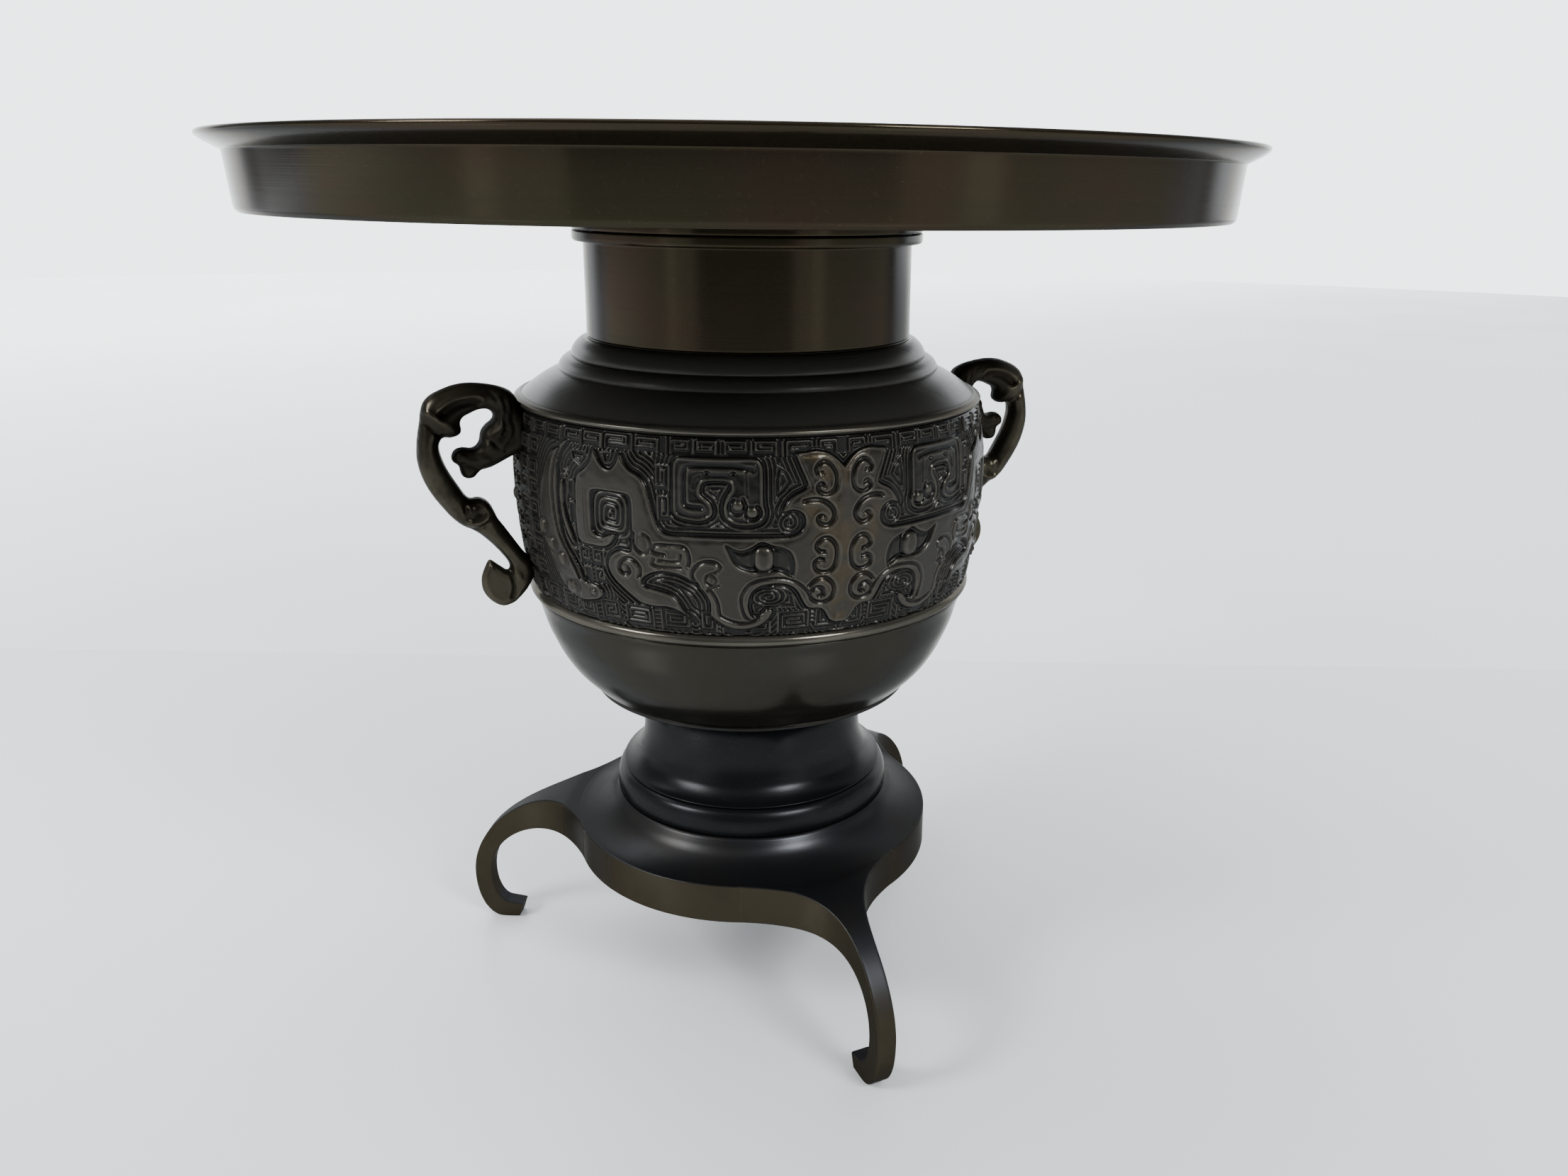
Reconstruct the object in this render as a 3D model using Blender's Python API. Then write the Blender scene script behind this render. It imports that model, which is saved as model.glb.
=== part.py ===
"""Usubata flower vase: a hollow bronze body on a waisted pedestal, a wide lift-off dish,
two beast handles and a tripod stand. Metres, +Z up, origin on the floor under the axis.
The masks of the relief face -Y and +Y, and the handles stand on -X and +X."""

import math

import bmesh
import bpy
from mathutils import Vector

# Clearances between pieces that touch
TOUCH_GAP = 0.0003
COLLAR_CLEARANCE = 0.0006

# Tripod stand
STAND_UNDERSIDE = 0.0414
STAND_RIM_HEIGHT = 0.0135
STAND_CROWN = 0.0077
STAND_SEAT_LIFT = 0.0015
STAND_RADIUS = 0.0640
STAND_SEAT_MARGIN = 0.0021
STAND_WALL = 0.0035
STAND_EASE = 0.0005
STAND_SWEEP_RUN = 0.0030
STAND_SWEEP_RISE = 0.0013
STAND_TURN = math.radians(2.5)
LEG_COUNT = 3
LEG_REACH = 0.1078
LEG_THICKNESS = 0.0066
LEG_WIDTH = 0.0065
LEG_ROOT_WIDTH = 0.0384
LEG_KNEE_HEIGHT = 0.0188
LEG_EDGE = 0.0010
LEG_ROOT_DEPTH = 0.0030
LEG_SWEEP_START = 0.0040
TOE_CURL = 0.0060
FOOT_RADIUS = 0.0950
FOOT_LENGTH = 0.0050

# Body, from the pedestal's base to the flange
BODY_WALL = 0.0030
BODY_FLOOR = 0.0030
TORUS_RADIUS = 0.0487
TORUS_HEIGHT = 0.0086
TORUS_EASE = 0.0005
STEP_INSET = 0.0029
STEP_HEIGHT = 0.0019
STEP_GROOVE = 0.0007
WAIST_RADIUS = 0.0390
WAIST_HEIGHT = 0.0225
WAIST_FLARE = 0.0018
WAIST_FOOT_RISE = 0.0038
WAIST_HEAD_DROP = 0.0080
SAUCER_SWEEP_DROP = 0.0020
PEDESTAL_HEIGHT = 0.0416
SAUCER_RADIUS = 0.0558
SAUCER_HEIGHT = 0.0022
BOWL_HEIGHT = 0.0343
BOWL_FOOT_OVERHANG = 0.0004
BOWL_SHOULDER_INSET = 0.0026
BOWL_SHOULDER_DROP = 0.0075
BOWL_BEND_INSET = 0.0052
BOWL_BEND_RISE = 0.0128
LOWER_BEAD_BULGE = 0.0012
LOWER_BEAD_HEIGHT = 0.0033
BAND_GROOVE = 0.0004
BAND_RADIUS = 0.0800
BAND_HEIGHT = 0.0598
BAND_FOOT_DROP = 0.0037
BAND_HEAD_DROP = 0.0020
BAND_WIDEST = 0.63
RELIEF_LIFT = 0.0011
RELIEF_SINK = 0.0010
EYE_LIFT = 0.0010
BEAD_GROOVE = 0.0008
SHOULDER_BEAD_HEIGHT = 0.0021
SHOULDER_BEAD_WIDTH = 0.0025
CONE_HEIGHT = 0.0076
LOWER_STEP_WIDTH = 0.0043
LOWER_STEP_HEIGHT = 0.0041
UPPER_STEP_WIDTH = 0.0054
UPPER_STEP_HEIGHT = 0.0058
NECK_RADIUS = 0.0535
NECK_LENGTH = 0.0303
FLANGE_OVERHANG = 0.0035
FLANGE_HEIGHT = 0.0033

# Dish
DISH_RADIUS = 0.1600
DISH_LIP_WIDTH = 0.0063
DISH_WALL_FLARE = 0.0019
DISH_RING_HEIGHT = 0.0049
DISH_FLOOR = 0.0030
DISH_WALL = 0.0026
DISH_WALL_HEIGHT = 0.0166
DISH_LIP_RISE = 0.0048
DISH_CORNER = 0.0013
DISH_EASE = 0.0003
COLLAR_WALL = 0.0024
COLLAR_DEPTH = 0.0180

# Handles
HANDLE_FOOT_DROP = 0.0052
HANDLE_HEAD_RISE = 0.0090
HANDLE_REACH = 0.0300

# Facets
BODY_SIDES = 40
BODY_PHASE = 0.5
DISH_SIDES = 48
STAND_SIDES = 36
HANDLE_SIDES = 8
LEG_STATIONS = 6
SHARP_ANGLE = math.radians(32)

# Radii that follow from the sizes above
STEP_RADIUS = TORUS_RADIUS - STEP_INSET
BOWL_RADIUS = BAND_RADIUS - BAND_FOOT_DROP - LOWER_BEAD_BULGE
SHOULDER_BEAD_RADIUS = BAND_RADIUS - BAND_HEAD_DROP
CONE_RADIUS = SHOULDER_BEAD_RADIUS - SHOULDER_BEAD_WIDTH
UPPER_STEP_RADIUS = NECK_RADIUS + UPPER_STEP_WIDTH
LOWER_STEP_RADIUS = UPPER_STEP_RADIUS + LOWER_STEP_WIDTH
FLANGE_RADIUS = NECK_RADIUS + FLANGE_OVERHANG
DISH_WALL_RADIUS = DISH_RADIUS - DISH_LIP_WIDTH
DISH_FLOOR_RADIUS = DISH_WALL_RADIUS - DISH_WALL_FLARE
HANDLE_HEIGHT = HANDLE_FOOT_DROP + BAND_HEIGHT + HANDLE_HEAD_RISE

# Heights that follow from the sizes above
RIM_TOP = STAND_UNDERSIDE + STAND_RIM_HEIGHT
CROWN_TOP = RIM_TOP + STAND_CROWN
SEAT_TOP = CROWN_TOP + STAND_SEAT_LIFT
BASE = SEAT_TOP + TOUCH_GAP
TORUS_TOP = BASE + TORUS_HEIGHT
STEP_TOP = TORUS_TOP + STEP_HEIGHT
SAUCER_BOTTOM = BASE + PEDESTAL_HEIGHT
SAUCER_TOP = SAUCER_BOTTOM + SAUCER_HEIGHT
BOWL_TOP = SAUCER_TOP + BOWL_HEIGHT
BAND_BOTTOM = BOWL_TOP + LOWER_BEAD_HEIGHT + BAND_GROOVE
BAND_TOP = BAND_BOTTOM + BAND_HEIGHT
BEAD_BOTTOM = BAND_TOP + BEAD_GROOVE
CONE_BOTTOM = BEAD_BOTTOM + SHOULDER_BEAD_HEIGHT
CONE_TOP = CONE_BOTTOM + CONE_HEIGHT
LOWER_STEP_TOP = CONE_TOP + LOWER_STEP_HEIGHT
NECK_BOTTOM = LOWER_STEP_TOP + UPPER_STEP_HEIGHT
FLANGE_BOTTOM = NECK_BOTTOM + NECK_LENGTH
FLANGE_TOP = FLANGE_BOTTOM + FLANGE_HEIGHT
DISH_RING_BOTTOM = FLANGE_TOP + TOUCH_GAP
DISH_UNDERSIDE = DISH_RING_BOTTOM + DISH_RING_HEIGHT
DISH_FLOOR_TOP = DISH_UNDERSIDE + DISH_FLOOR
DISH_WALL_TOP = DISH_UNDERSIDE + DISH_WALL_HEIGHT
DISH_TOP = DISH_WALL_TOP + DISH_LIP_RISE

# Relief outlines: degrees from the mask's ridge, and sixtieths of the band's height
BAND_UNITS = 60
CREASE_SHIFT = 0.1
MASK_OUTLINE = [
    (0, 51.7), (1.7, 54.2), (5, 56.3), (9.8, 55.8), (8.2, 46.4), (13.8, 38.9),
    (10.5, 39.3), (8.7, 35.5), (12, 31.6), (37, 31.6), (40.2, 35), (42.4, 46),
    (48.8, 54.2), (51.3, 49.4), (55.4, 54.4), (57, 50), (60.5, 44.5), (60.5, 27),
    (53.2, 25.3), (50.2, 30.2), (56.2, 32), (56.2, 42.5), (46.2, 42.5), (45.7, 26.5),
    (49.2, 24.4), (52, 20), (44, 8.5), (36.9, 8.1), (32.4, 4.6), (37.7, 12.8), (43.8, 15.5),
    (39.1, 20.1), (35.5, 19.7), (31.2, 16), (28.6, 10), (25.2, 3.8), (22.4, 2.9),
    (16.6, 7.5), (20.2, 12.5), (17.5, 15.8), (13.8, 15.6), (8, 9.5), (4.4, 8.1), (2.7, 4), (0, 3.1),
]
PANEL_OUTLINE = [
    (17, 54.6), (35.4, 54.6), (36.2, 53), (36.2, 38.5), (34.6, 36.8), (28.4, 36.8),
    (30.6, 43.5), (30.2, 47.6), (23.5, 47.6), (25.3, 40), (23.5, 35.4), (19, 35.4), (16.4, 39),
]
DRAGON_OUTLINE = [
    (64.6, 54.2), (71.5, 48), (74.4, 33), (71.7, 18), (65, 7.5), (57.5, 7.5), (55.2, 11),
    (59.3, 13), (65.6, 33),
]
EYE_CENTRE = (17.2, 25.3)
EYE_SIZE = (2.0, 3.7)
EYE_SIDES = 8
EYE_TOP_SHARE = 0.6

# Handle strokes in shares of its reach from the wall and of its height from its foot,
# with each section's half thickness and half width in shares of the height
HANDLE_SPINE = [
    (-0.10, 0.840, 0.080, 0.085), (0.08, 0.900, 0.072, 0.075), (0.35, 0.942, 0.060, 0.064),
    (0.63, 0.928, 0.064, 0.064), (0.82, 0.855, 0.062, 0.064), (0.892, 0.750, 0.051, 0.066),
    (0.880, 0.655, 0.050, 0.068), (0.768, 0.550, 0.054, 0.068), (0.530, 0.445, 0.070, 0.072),
    (0.395, 0.372, 0.052, 0.054), (0.110, 0.218, 0.048, 0.046), (0.015, 0.110, 0.050, 0.046),
    (0.200, 0.040, 0.036, 0.036),
]
HANDLE_SNOUT = [
    (-0.10, 0.790, 0.115, 0.098), (0.12, 0.770, 0.108, 0.092), (0.33, 0.700, 0.080, 0.076),
    (0.53, 0.658, 0.070, 0.062), (0.650, 0.680, 0.044, 0.040),
]
HANDLE_LOBE = [
    (0.78, 0.850, 0.050, 0.050), (0.68, 0.800, 0.044, 0.048), (0.60, 0.790, 0.030, 0.036),
]
HANDLE_LEAF = [
    (0.110, 0.070, 0.046, 0.034), (0.300, 0.080, 0.072, 0.036), (0.370, 0.150, 0.054, 0.034),
    (0.385, 0.222, 0.010, 0.014),
]


def clear_scene():
    """Remove every object of the scene, so that the script starts from nothing."""
    for item in list(bpy.data.objects):
        bpy.data.objects.remove(item, do_unlink=True)


def bronze(name, colour, roughness):
    """A patinated bronze as a plain Principled material."""
    material = bpy.data.materials.new(name)
    material.use_nodes = True
    shader = material.node_tree.nodes["Principled BSDF"]
    shader.inputs["Base Color"].default_value = (*colour, 1.0)
    shader.inputs["Roughness"].default_value = roughness
    shader.inputs["Metallic"].default_value = 0.8
    return material


def add_object(name, bm, material=None):
    """Turn a bmesh into a named object with outward faces and smooth round sides."""
    bmesh.ops.remove_doubles(bm, verts=bm.verts, dist=0.00001)
    bmesh.ops.recalc_face_normals(bm, faces=bm.faces)
    mesh = bpy.data.meshes.new(name)
    bm.to_mesh(mesh)
    bm.free()
    mesh.shade_smooth()
    mesh.set_sharp_from_angle(angle=SHARP_ANGLE)
    item = bpy.data.objects.new(name, mesh)
    bpy.context.scene.collection.objects.link(item)
    if material:
        mesh.materials.append(material)
    return item


def boolean(target, tool, operation):
    """Join to, or cut from, the target with a hidden tool object."""
    tool.hide_render = True
    tool.display_type = 'WIRE'
    modifier = target.modifiers.new(tool.name, 'BOOLEAN')
    modifier.object = tool
    modifier.operation = operation
    modifier.solver = 'EXACT'


def quadratic(start, control, end, steps):
    """Points of a quadratic curve after its start."""
    points = []
    for index in range(1, steps + 1):
        t = index / steps
        points.append(tuple(
            (1 - t) ** 2 * a + 2 * t * (1 - t) * b + t ** 2 * c
            for a, b, c in zip(start, control, end)))
    return points


def cubic(start, first, second, end, t):
    """The point of a cubic curve at a share of its run."""
    return tuple(
        (1 - t) ** 3 * a + 3 * t * (1 - t) ** 2 * b + 3 * t ** 2 * (1 - t) * c + t ** 3 * d
        for a, b, c, d in zip(start, first, second, end))


def turned(profile, sides, phase=0.0):
    """A bmesh turned round the axis from (radius, height) points, set off by a share of a facet."""
    bm = bmesh.new()
    start = 2 * math.pi * phase / sides
    verts = [bm.verts.new((r * math.cos(start), r * math.sin(start), h)) for r, h in profile]
    edges = [bm.edges.new(pair) for pair in zip(verts, verts[1:])]
    if profile[0][0] > 0:
        edges.append(bm.edges.new((verts[-1], verts[0])))
    bmesh.ops.spin(
        bm, geom=verts + edges, cent=(0, 0, 0), axis=(0, 0, 1),
        angle=2 * math.pi, steps=sides, use_merge=True)
    return bm


def offset_inward(points, distance):
    """A profile that runs upward, moved to its inner side by a wall's thickness."""
    moved = []
    last = len(points) - 1
    for index, (r, h) in enumerate(points):
        r0, h0 = points[max(index - 1, 0)]
        r1, h1 = points[min(index + 1, last)]
        length = math.hypot(r1 - r0, h1 - h0)
        moved.append((r - distance * (h1 - h0) / length, h + distance * (r1 - r0) / length))
    return moved


# Body


def band_radius(share):
    """Radius over the relief at a share of the band's height."""
    if share < BAND_WIDEST:
        return BAND_RADIUS - BAND_FOOT_DROP * ((BAND_WIDEST - share) / BAND_WIDEST) ** 2
    return BAND_RADIUS - BAND_HEAD_DROP * ((share - BAND_WIDEST) / (1 - BAND_WIDEST)) ** 2


def band_rows():
    """The band's ground as (radius, height) rows, from its foot to its head."""
    shares = (0, BAND_WIDEST / 2, BAND_WIDEST, 1)
    return [(band_radius(s) - RELIEF_LIFT, BAND_BOTTOM + s * BAND_HEIGHT) for s in shares]


def bowl_curve():
    """The bowl's side, from the saucer to the fine line under the lower bead."""
    start = (SAUCER_RADIUS + BOWL_FOOT_OVERHANG, SAUCER_TOP)
    turn = (BOWL_RADIUS - BOWL_SHOULDER_INSET, BOWL_TOP - BOWL_SHOULDER_DROP)
    bend = (BOWL_RADIUS - BOWL_BEND_INSET, SAUCER_TOP + BOWL_BEND_RISE)
    sides = quadratic(start, bend, turn, 4)
    return [start] + sides + [(BOWL_RADIUS, BOWL_TOP)]


def pedestal_curve():
    """The pedestal's side, from the seat on the stand to the saucer's underside."""
    return [
        (TORUS_RADIUS - TORUS_EASE, BASE),
        (TORUS_RADIUS, BASE + TORUS_HEIGHT * 0.5),
        (STEP_RADIUS + STEP_GROOVE, TORUS_TOP),
        (STEP_RADIUS - STEP_GROOVE, TORUS_TOP + STEP_GROOVE),
        (STEP_RADIUS, STEP_TOP),
        (WAIST_RADIUS + WAIST_FLARE, STEP_TOP + WAIST_FOOT_RISE),
        (WAIST_RADIUS, BASE + WAIST_HEIGHT),
        (WAIST_RADIUS + WAIST_FLARE, SAUCER_BOTTOM - WAIST_HEAD_DROP),
        (WAIST_RADIUS + (SAUCER_RADIUS - WAIST_RADIUS) * 0.38, SAUCER_BOTTOM - SAUCER_SWEEP_DROP),
        (WAIST_RADIUS + (SAUCER_RADIUS - WAIST_RADIUS) * 0.82, SAUCER_BOTTOM),
    ]


def shoulder_rows():
    """The shoulder's bead, cone and steps, from the band's groove to the neck."""
    bead_middle = BEAD_BOTTOM + SHOULDER_BEAD_HEIGHT * 0.25
    return [
        (SHOULDER_BEAD_RADIUS, bead_middle),
        (CONE_RADIUS, CONE_BOTTOM),
        (LOWER_STEP_RADIUS, CONE_TOP),
        (UPPER_STEP_RADIUS, LOWER_STEP_TOP),
        (NECK_RADIUS, NECK_BOTTOM),
    ]


def cavity_curve():
    """The hollow inside, from the neck's mouth down to the floor in the pedestal."""
    guide = [
        (STEP_RADIUS, STEP_TOP),
        (WAIST_RADIUS, BASE + WAIST_HEIGHT),
        (WAIST_RADIUS + WAIST_FLARE, SAUCER_BOTTOM - WAIST_HEAD_DROP),
        (SAUCER_RADIUS, SAUCER_TOP + BODY_WALL / 3),
    ]
    guide += bowl_curve()[2:5:2]
    guide += [band_rows()[0]] + band_rows()[2:]
    guide += [(LOWER_STEP_RADIUS, CONE_TOP), (NECK_RADIUS, NECK_BOTTOM)]
    inside = offset_inward(guide, BODY_WALL)
    inside[-1] = (NECK_RADIUS - BODY_WALL, NECK_BOTTOM - BODY_WALL / 2)
    floor = BASE + BODY_FLOOR
    foot = TORUS_RADIUS - TORUS_EASE - BODY_WALL
    path = [(0, floor), (foot, floor)] + inside + [(NECK_RADIUS - BODY_WALL, FLANGE_TOP)]
    return path[::-1]


def body_profile():
    """The body's closed half section, from the axis under the base to the axis inside."""
    outside = [(0, BASE)] + pedestal_curve()
    outside += [
        (SAUCER_RADIUS, SAUCER_BOTTOM + SAUCER_HEIGHT * 0.3),
        (SAUCER_RADIUS, SAUCER_TOP - SAUCER_HEIGHT * 0.2),
    ]
    outside += bowl_curve()
    bead = BOWL_RADIUS + LOWER_BEAD_BULGE
    outside += [
        (bead, BOWL_TOP + LOWER_BEAD_HEIGHT * 0.5),
        (band_rows()[0][0], BAND_BOTTOM - BAND_GROOVE),
    ]
    outside += band_rows()
    outside += [(band_rows()[-1][0], BEAD_BOTTOM)]
    outside += shoulder_rows()
    outside += [
        (NECK_RADIUS, FLANGE_BOTTOM),
        (FLANGE_RADIUS, FLANGE_BOTTOM),
        (FLANGE_RADIUS, FLANGE_TOP),
    ]
    return outside + cavity_curve()


def crease_angles():
    """Where a plate bends: just past each upright edge of the body, so that none coincide."""
    step = 360 / BODY_SIDES
    return [step * (index + 0.5) + CREASE_SHIFT for index in range(int(90 / step))]


def on_band(angle, unit, lift, front):
    """A point over the faceted band, at degrees from the ridge and units of its height."""
    rows = band_rows()
    height = BAND_BOTTOM + BAND_HEIGHT * unit / BAND_UNITS
    radius = rows[-1][0]
    for (r0, h0), (r1, h1) in zip(rows, rows[1:]):
        if h0 <= height <= h1:
            radius = r0 + (r1 - r0) * (height - h0) / (h1 - h0)
    step = 360 / BODY_SIDES
    off_middle = math.radians(angle - step * round(angle / step))
    reach = (radius + lift) * math.cos(math.radians(step / 2)) / math.cos(off_middle)
    azimuth = math.radians(angle - 90)
    return Vector((reach * math.cos(azimuth), reach * math.sin(azimuth) * front, height))


def add_plate(bm, outline, front):
    """A closed plate bent round the band: cut at its facets, then raised and sunk."""
    flat = bmesh.new()
    flat.faces.new([flat.verts.new((x, y, 0)) for x, y in outline])
    cuts = [(Vector((a * s, 0, 0)), Vector((1, 0, 0))) for a in crease_angles() for s in (-1, 1)]
    for _, h in band_rows()[1:-1]:
        unit = (h - BAND_BOTTOM) / BAND_HEIGHT * BAND_UNITS + CREASE_SHIFT
        cuts += [(Vector((0, unit, 0)), Vector((0, 1, 0)))]
    for place, normal in cuts:
        geometry = flat.verts[:] + flat.edges[:] + flat.faces[:]
        bmesh.ops.bisect_plane(flat, geom=geometry, dist=0.0001, plane_co=place, plane_no=normal)
    layers = []
    for lift in (RELIEF_LIFT, -RELIEF_SINK):
        layers.append({v: bm.verts.new(on_band(v.co.x, v.co.y, lift, front)) for v in flat.verts})
    upper, lower = layers
    for face in flat.faces:
        bm.faces.new([upper[v] for v in face.verts])
        bm.faces.new([lower[v] for v in reversed(face.verts)])
    for edge in flat.edges:
        if edge.is_boundary:
            first, second = edge.verts
            bm.faces.new([upper[first], upper[second], lower[second], lower[first]])
    flat.free()


def mirrored(outline):
    """An outline on one side of the ridge, turned over to the other side."""
    return [(-x, y) for x, y in reversed(outline)]


def relief_plates():
    """The masks, panels and dragons of both faces, as closed plates."""
    bm = bmesh.new()
    mask = MASK_OUTLINE + mirrored(MASK_OUTLINE[1:-1])
    for front in (1, -1):
        add_plate(bm, mask, front)
        for outline in (PANEL_OUTLINE, DRAGON_OUTLINE):
            add_plate(bm, outline, front)
            add_plate(bm, mirrored(outline), front)
    return add_object("relief_plates", bm)


def eye_bosses():
    """Four eyeballs that stand over the masks."""
    bm = bmesh.new()
    for front in (1, -1):
        for side in (1, -1):
            rings = []
            for share, lift in ((1, -RELIEF_SINK / 2), (EYE_TOP_SHARE, RELIEF_LIFT + EYE_LIFT)):
                ring = []
                for index in range(EYE_SIDES):
                    turn = 2 * math.pi * (index + 0.5) / EYE_SIDES
                    angle = EYE_CENTRE[0] + EYE_SIZE[0] * share * math.cos(turn)
                    unit = EYE_CENTRE[1] + EYE_SIZE[1] * share * math.sin(turn)
                    point = on_band(angle, unit, lift, front)
                    point.x *= side
                    ring.append(bm.verts.new(point))
                rings.append(ring)
            bm.faces.new(rings[0])
            bm.faces.new(rings[-1])
            join_rings(bm, rings)
    return add_object("eye_bosses", bm)


def join_rings(bm, rings):
    """Quads between neighbouring closed rings of equal count."""
    for low, high in zip(rings, rings[1:]):
        count = len(low)
        for index in range(count):
            after = (index + 1) % count
            bm.faces.new([low[index], low[after], high[after], high[index]])


def make_body():
    """The hollow body with its relief."""
    material = bronze("body_bronze", (0.055, 0.050, 0.042), 0.38)
    body = add_object("body", turned(body_profile(), BODY_SIDES, BODY_PHASE), material)
    boolean(body, relief_plates(), 'UNION')
    boolean(body, eye_bosses(), 'UNION')
    return body


# Dish


def dish_profile():
    """The dish's closed section: collar, seat ring, floor, wall and flared lip."""
    collar_outside = NECK_RADIUS - BODY_WALL - COLLAR_CLEARANCE
    collar_inside = collar_outside - COLLAR_WALL
    collar_bottom = DISH_RING_BOTTOM - COLLAR_DEPTH
    return [
        (collar_inside, collar_bottom),
        (collar_outside, collar_bottom),
        (collar_outside, DISH_RING_BOTTOM),
        (FLANGE_RADIUS, DISH_RING_BOTTOM),
        (FLANGE_RADIUS, DISH_UNDERSIDE),
        (DISH_FLOOR_RADIUS - DISH_CORNER, DISH_UNDERSIDE),
        (DISH_FLOOR_RADIUS, DISH_UNDERSIDE + DISH_CORNER),
        (DISH_WALL_RADIUS, DISH_WALL_TOP),
        (DISH_RADIUS, DISH_TOP - DISH_WALL / 3),
        (DISH_RADIUS - DISH_EASE, DISH_TOP),
        (DISH_WALL_RADIUS - DISH_WALL / 2, DISH_WALL_TOP + DISH_WALL / 2),
        (DISH_WALL_RADIUS - DISH_WALL - DISH_EASE, DISH_WALL_TOP - DISH_WALL),
        (DISH_FLOOR_RADIUS - DISH_WALL - DISH_CORNER, DISH_FLOOR_TOP),
        (collar_inside, DISH_FLOOR_TOP),
    ]


def make_dish():
    """The wide dish that lifts off the flange."""
    material = bronze("dish_bronze", (0.085, 0.072, 0.055), 0.35)
    return add_object("dish", turned(dish_profile(), DISH_SIDES), material)


# Stand


def platform_profile():
    """The platform's solid half section under its raised seat."""
    crown = TORUS_RADIUS + STAND_SEAT_MARGIN
    sweep = quadratic((crown, CROWN_TOP), (crown + STAND_SWEEP_RUN, RIM_TOP + STAND_SWEEP_RISE),
                      (STAND_RADIUS - STAND_EASE, RIM_TOP), 3)
    profile = [(0, SEAT_TOP), (crown - STAND_EASE, SEAT_TOP), (crown, CROWN_TOP)] + sweep
    profile += [
        (STAND_RADIUS, RIM_TOP - STAND_EASE),
        (STAND_RADIUS, STAND_UNDERSIDE),
        (0, STAND_UNDERSIDE),
    ]
    return profile[::-1]


def recess_profile():
    """The hollow under the platform, which leaves an even wall."""
    edge = STAND_RADIUS - STAND_WALL
    middle = TORUS_RADIUS - STAND_WALL
    return [
        (0, STAND_UNDERSIDE - STAND_WALL),
        (edge, STAND_UNDERSIDE - STAND_WALL),
        (edge, RIM_TOP - STAND_WALL * 1.5),
        (middle, CROWN_TOP - STAND_WALL),
        (0, CROWN_TOP - STAND_WALL),
    ]


def leg_half_width(radius):
    """Half the leg's width, which narrows from the platform to an even bar."""
    root = STAND_RADIUS - LEG_ROOT_DEPTH
    share = (radius - root) / (LEG_REACH - LEG_ROOT_DEPTH - root)
    narrowing = max(0.0, 1 - share) ** 2.25
    return (LEG_WIDTH + (LEG_ROOT_WIDTH - LEG_WIDTH) * narrowing) / 2


def leg_stations():
    """Outer point, inner point and half widths of each section, from platform to foot."""
    knee_out = (LEG_REACH, LEG_KNEE_HEIGHT)
    knee_in = (LEG_REACH - LEG_THICKNESS, LEG_KNEE_HEIGHT)
    start = STAND_RADIUS + LEG_SWEEP_START
    bend = LEG_REACH - start
    rise = RIM_TOP - LEG_KNEE_HEIGHT
    stations = []
    root = STAND_RADIUS - STAND_WALL - LEG_ROOT_DEPTH
    stations.append(((root, RIM_TOP), (root, STAND_UNDERSIDE)))
    for index in range(LEG_STATIONS + 1):
        t = index / LEG_STATIONS
        outer = cubic((start, RIM_TOP), (start + bend * 0.55, RIM_TOP - rise * 0.07),
                      (LEG_REACH, LEG_KNEE_HEIGHT + rise * 0.49), knee_out, t)
        drop = STAND_UNDERSIDE - LEG_KNEE_HEIGHT
        inner = cubic((start, STAND_UNDERSIDE), (start + bend * 0.63, STAND_UNDERSIDE),
                      (knee_in[0], LEG_KNEE_HEIGHT + drop * 0.60), knee_in, t)
        stations.append((outer, inner))
    heel = FOOT_RADIUS + FOOT_LENGTH / 2
    for t in (0.34, 0.68, 1.0):
        outer = cubic(knee_out, (LEG_REACH, LEG_KNEE_HEIGHT * 0.40), (heel + TOE_CURL, 0.0), (heel, 0.0), t)
        inner = cubic(knee_in, (knee_in[0], LEG_KNEE_HEIGHT * 0.60), (heel + TOE_CURL * 0.15, LEG_THICKNESS),
                      (heel - TOE_CURL * 0.35, LEG_THICKNESS * 0.97), t)
        stations.append((outer, inner))
    toe = FOOT_RADIUS - FOOT_LENGTH / 2
    stations.append(((toe, 0.0), (toe - TOE_CURL * 0.25, LEG_THICKNESS * 0.80)))
    return stations


def make_leg(name, azimuth):
    """One leg: square sections with eased edges that follow the curl."""
    bm = bmesh.new()
    rings = []
    narrow = LEG_ROOT_WIDTH
    direction = Vector((math.sin(azimuth), -math.cos(azimuth), 0))
    across = Vector((math.cos(azimuth), math.sin(azimuth), 0))
    for (ro, ho), (ri, hi) in leg_stations():
        narrow = min(narrow, leg_half_width(ro), leg_half_width(ri))
        depth = math.hypot(ro - ri, ho - hi)
        ease = LEG_EDGE / depth
        corners = (
            (0, narrow - LEG_EDGE), (ease, narrow), (1, narrow),
            (1, -narrow), (ease, -narrow), (0, LEG_EDGE - narrow),
        )
        ring = []
        for share, side in corners:
            r = ro + (ri - ro) * share
            h = ho + (hi - ho) * share
            ring.append(bm.verts.new(direction * r + across * side + Vector((0, 0, h))))
        rings.append(ring)
    join_rings(bm, rings)
    bm.faces.new(rings[0])
    bm.faces.new(rings[-1])
    return add_object(name, bm)


def make_stand():
    """The tripod stand: a dished platform with a rim and three curled legs."""
    material = bronze("stand_bronze", (0.040, 0.038, 0.036), 0.40)
    stand = add_object("tripod_stand", turned(platform_profile(), STAND_SIDES), material)
    for index in range(LEG_COUNT):
        azimuth = STAND_TURN + 2 * math.pi * index / LEG_COUNT
        boolean(stand, make_leg("leg_%d" % (index + 1), azimuth), 'UNION')
    recess = add_object("platform_recess", turned(recess_profile(), STAND_SIDES))
    boolean(stand, recess, 'DIFFERENCE')
    return stand


# Handles


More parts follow.
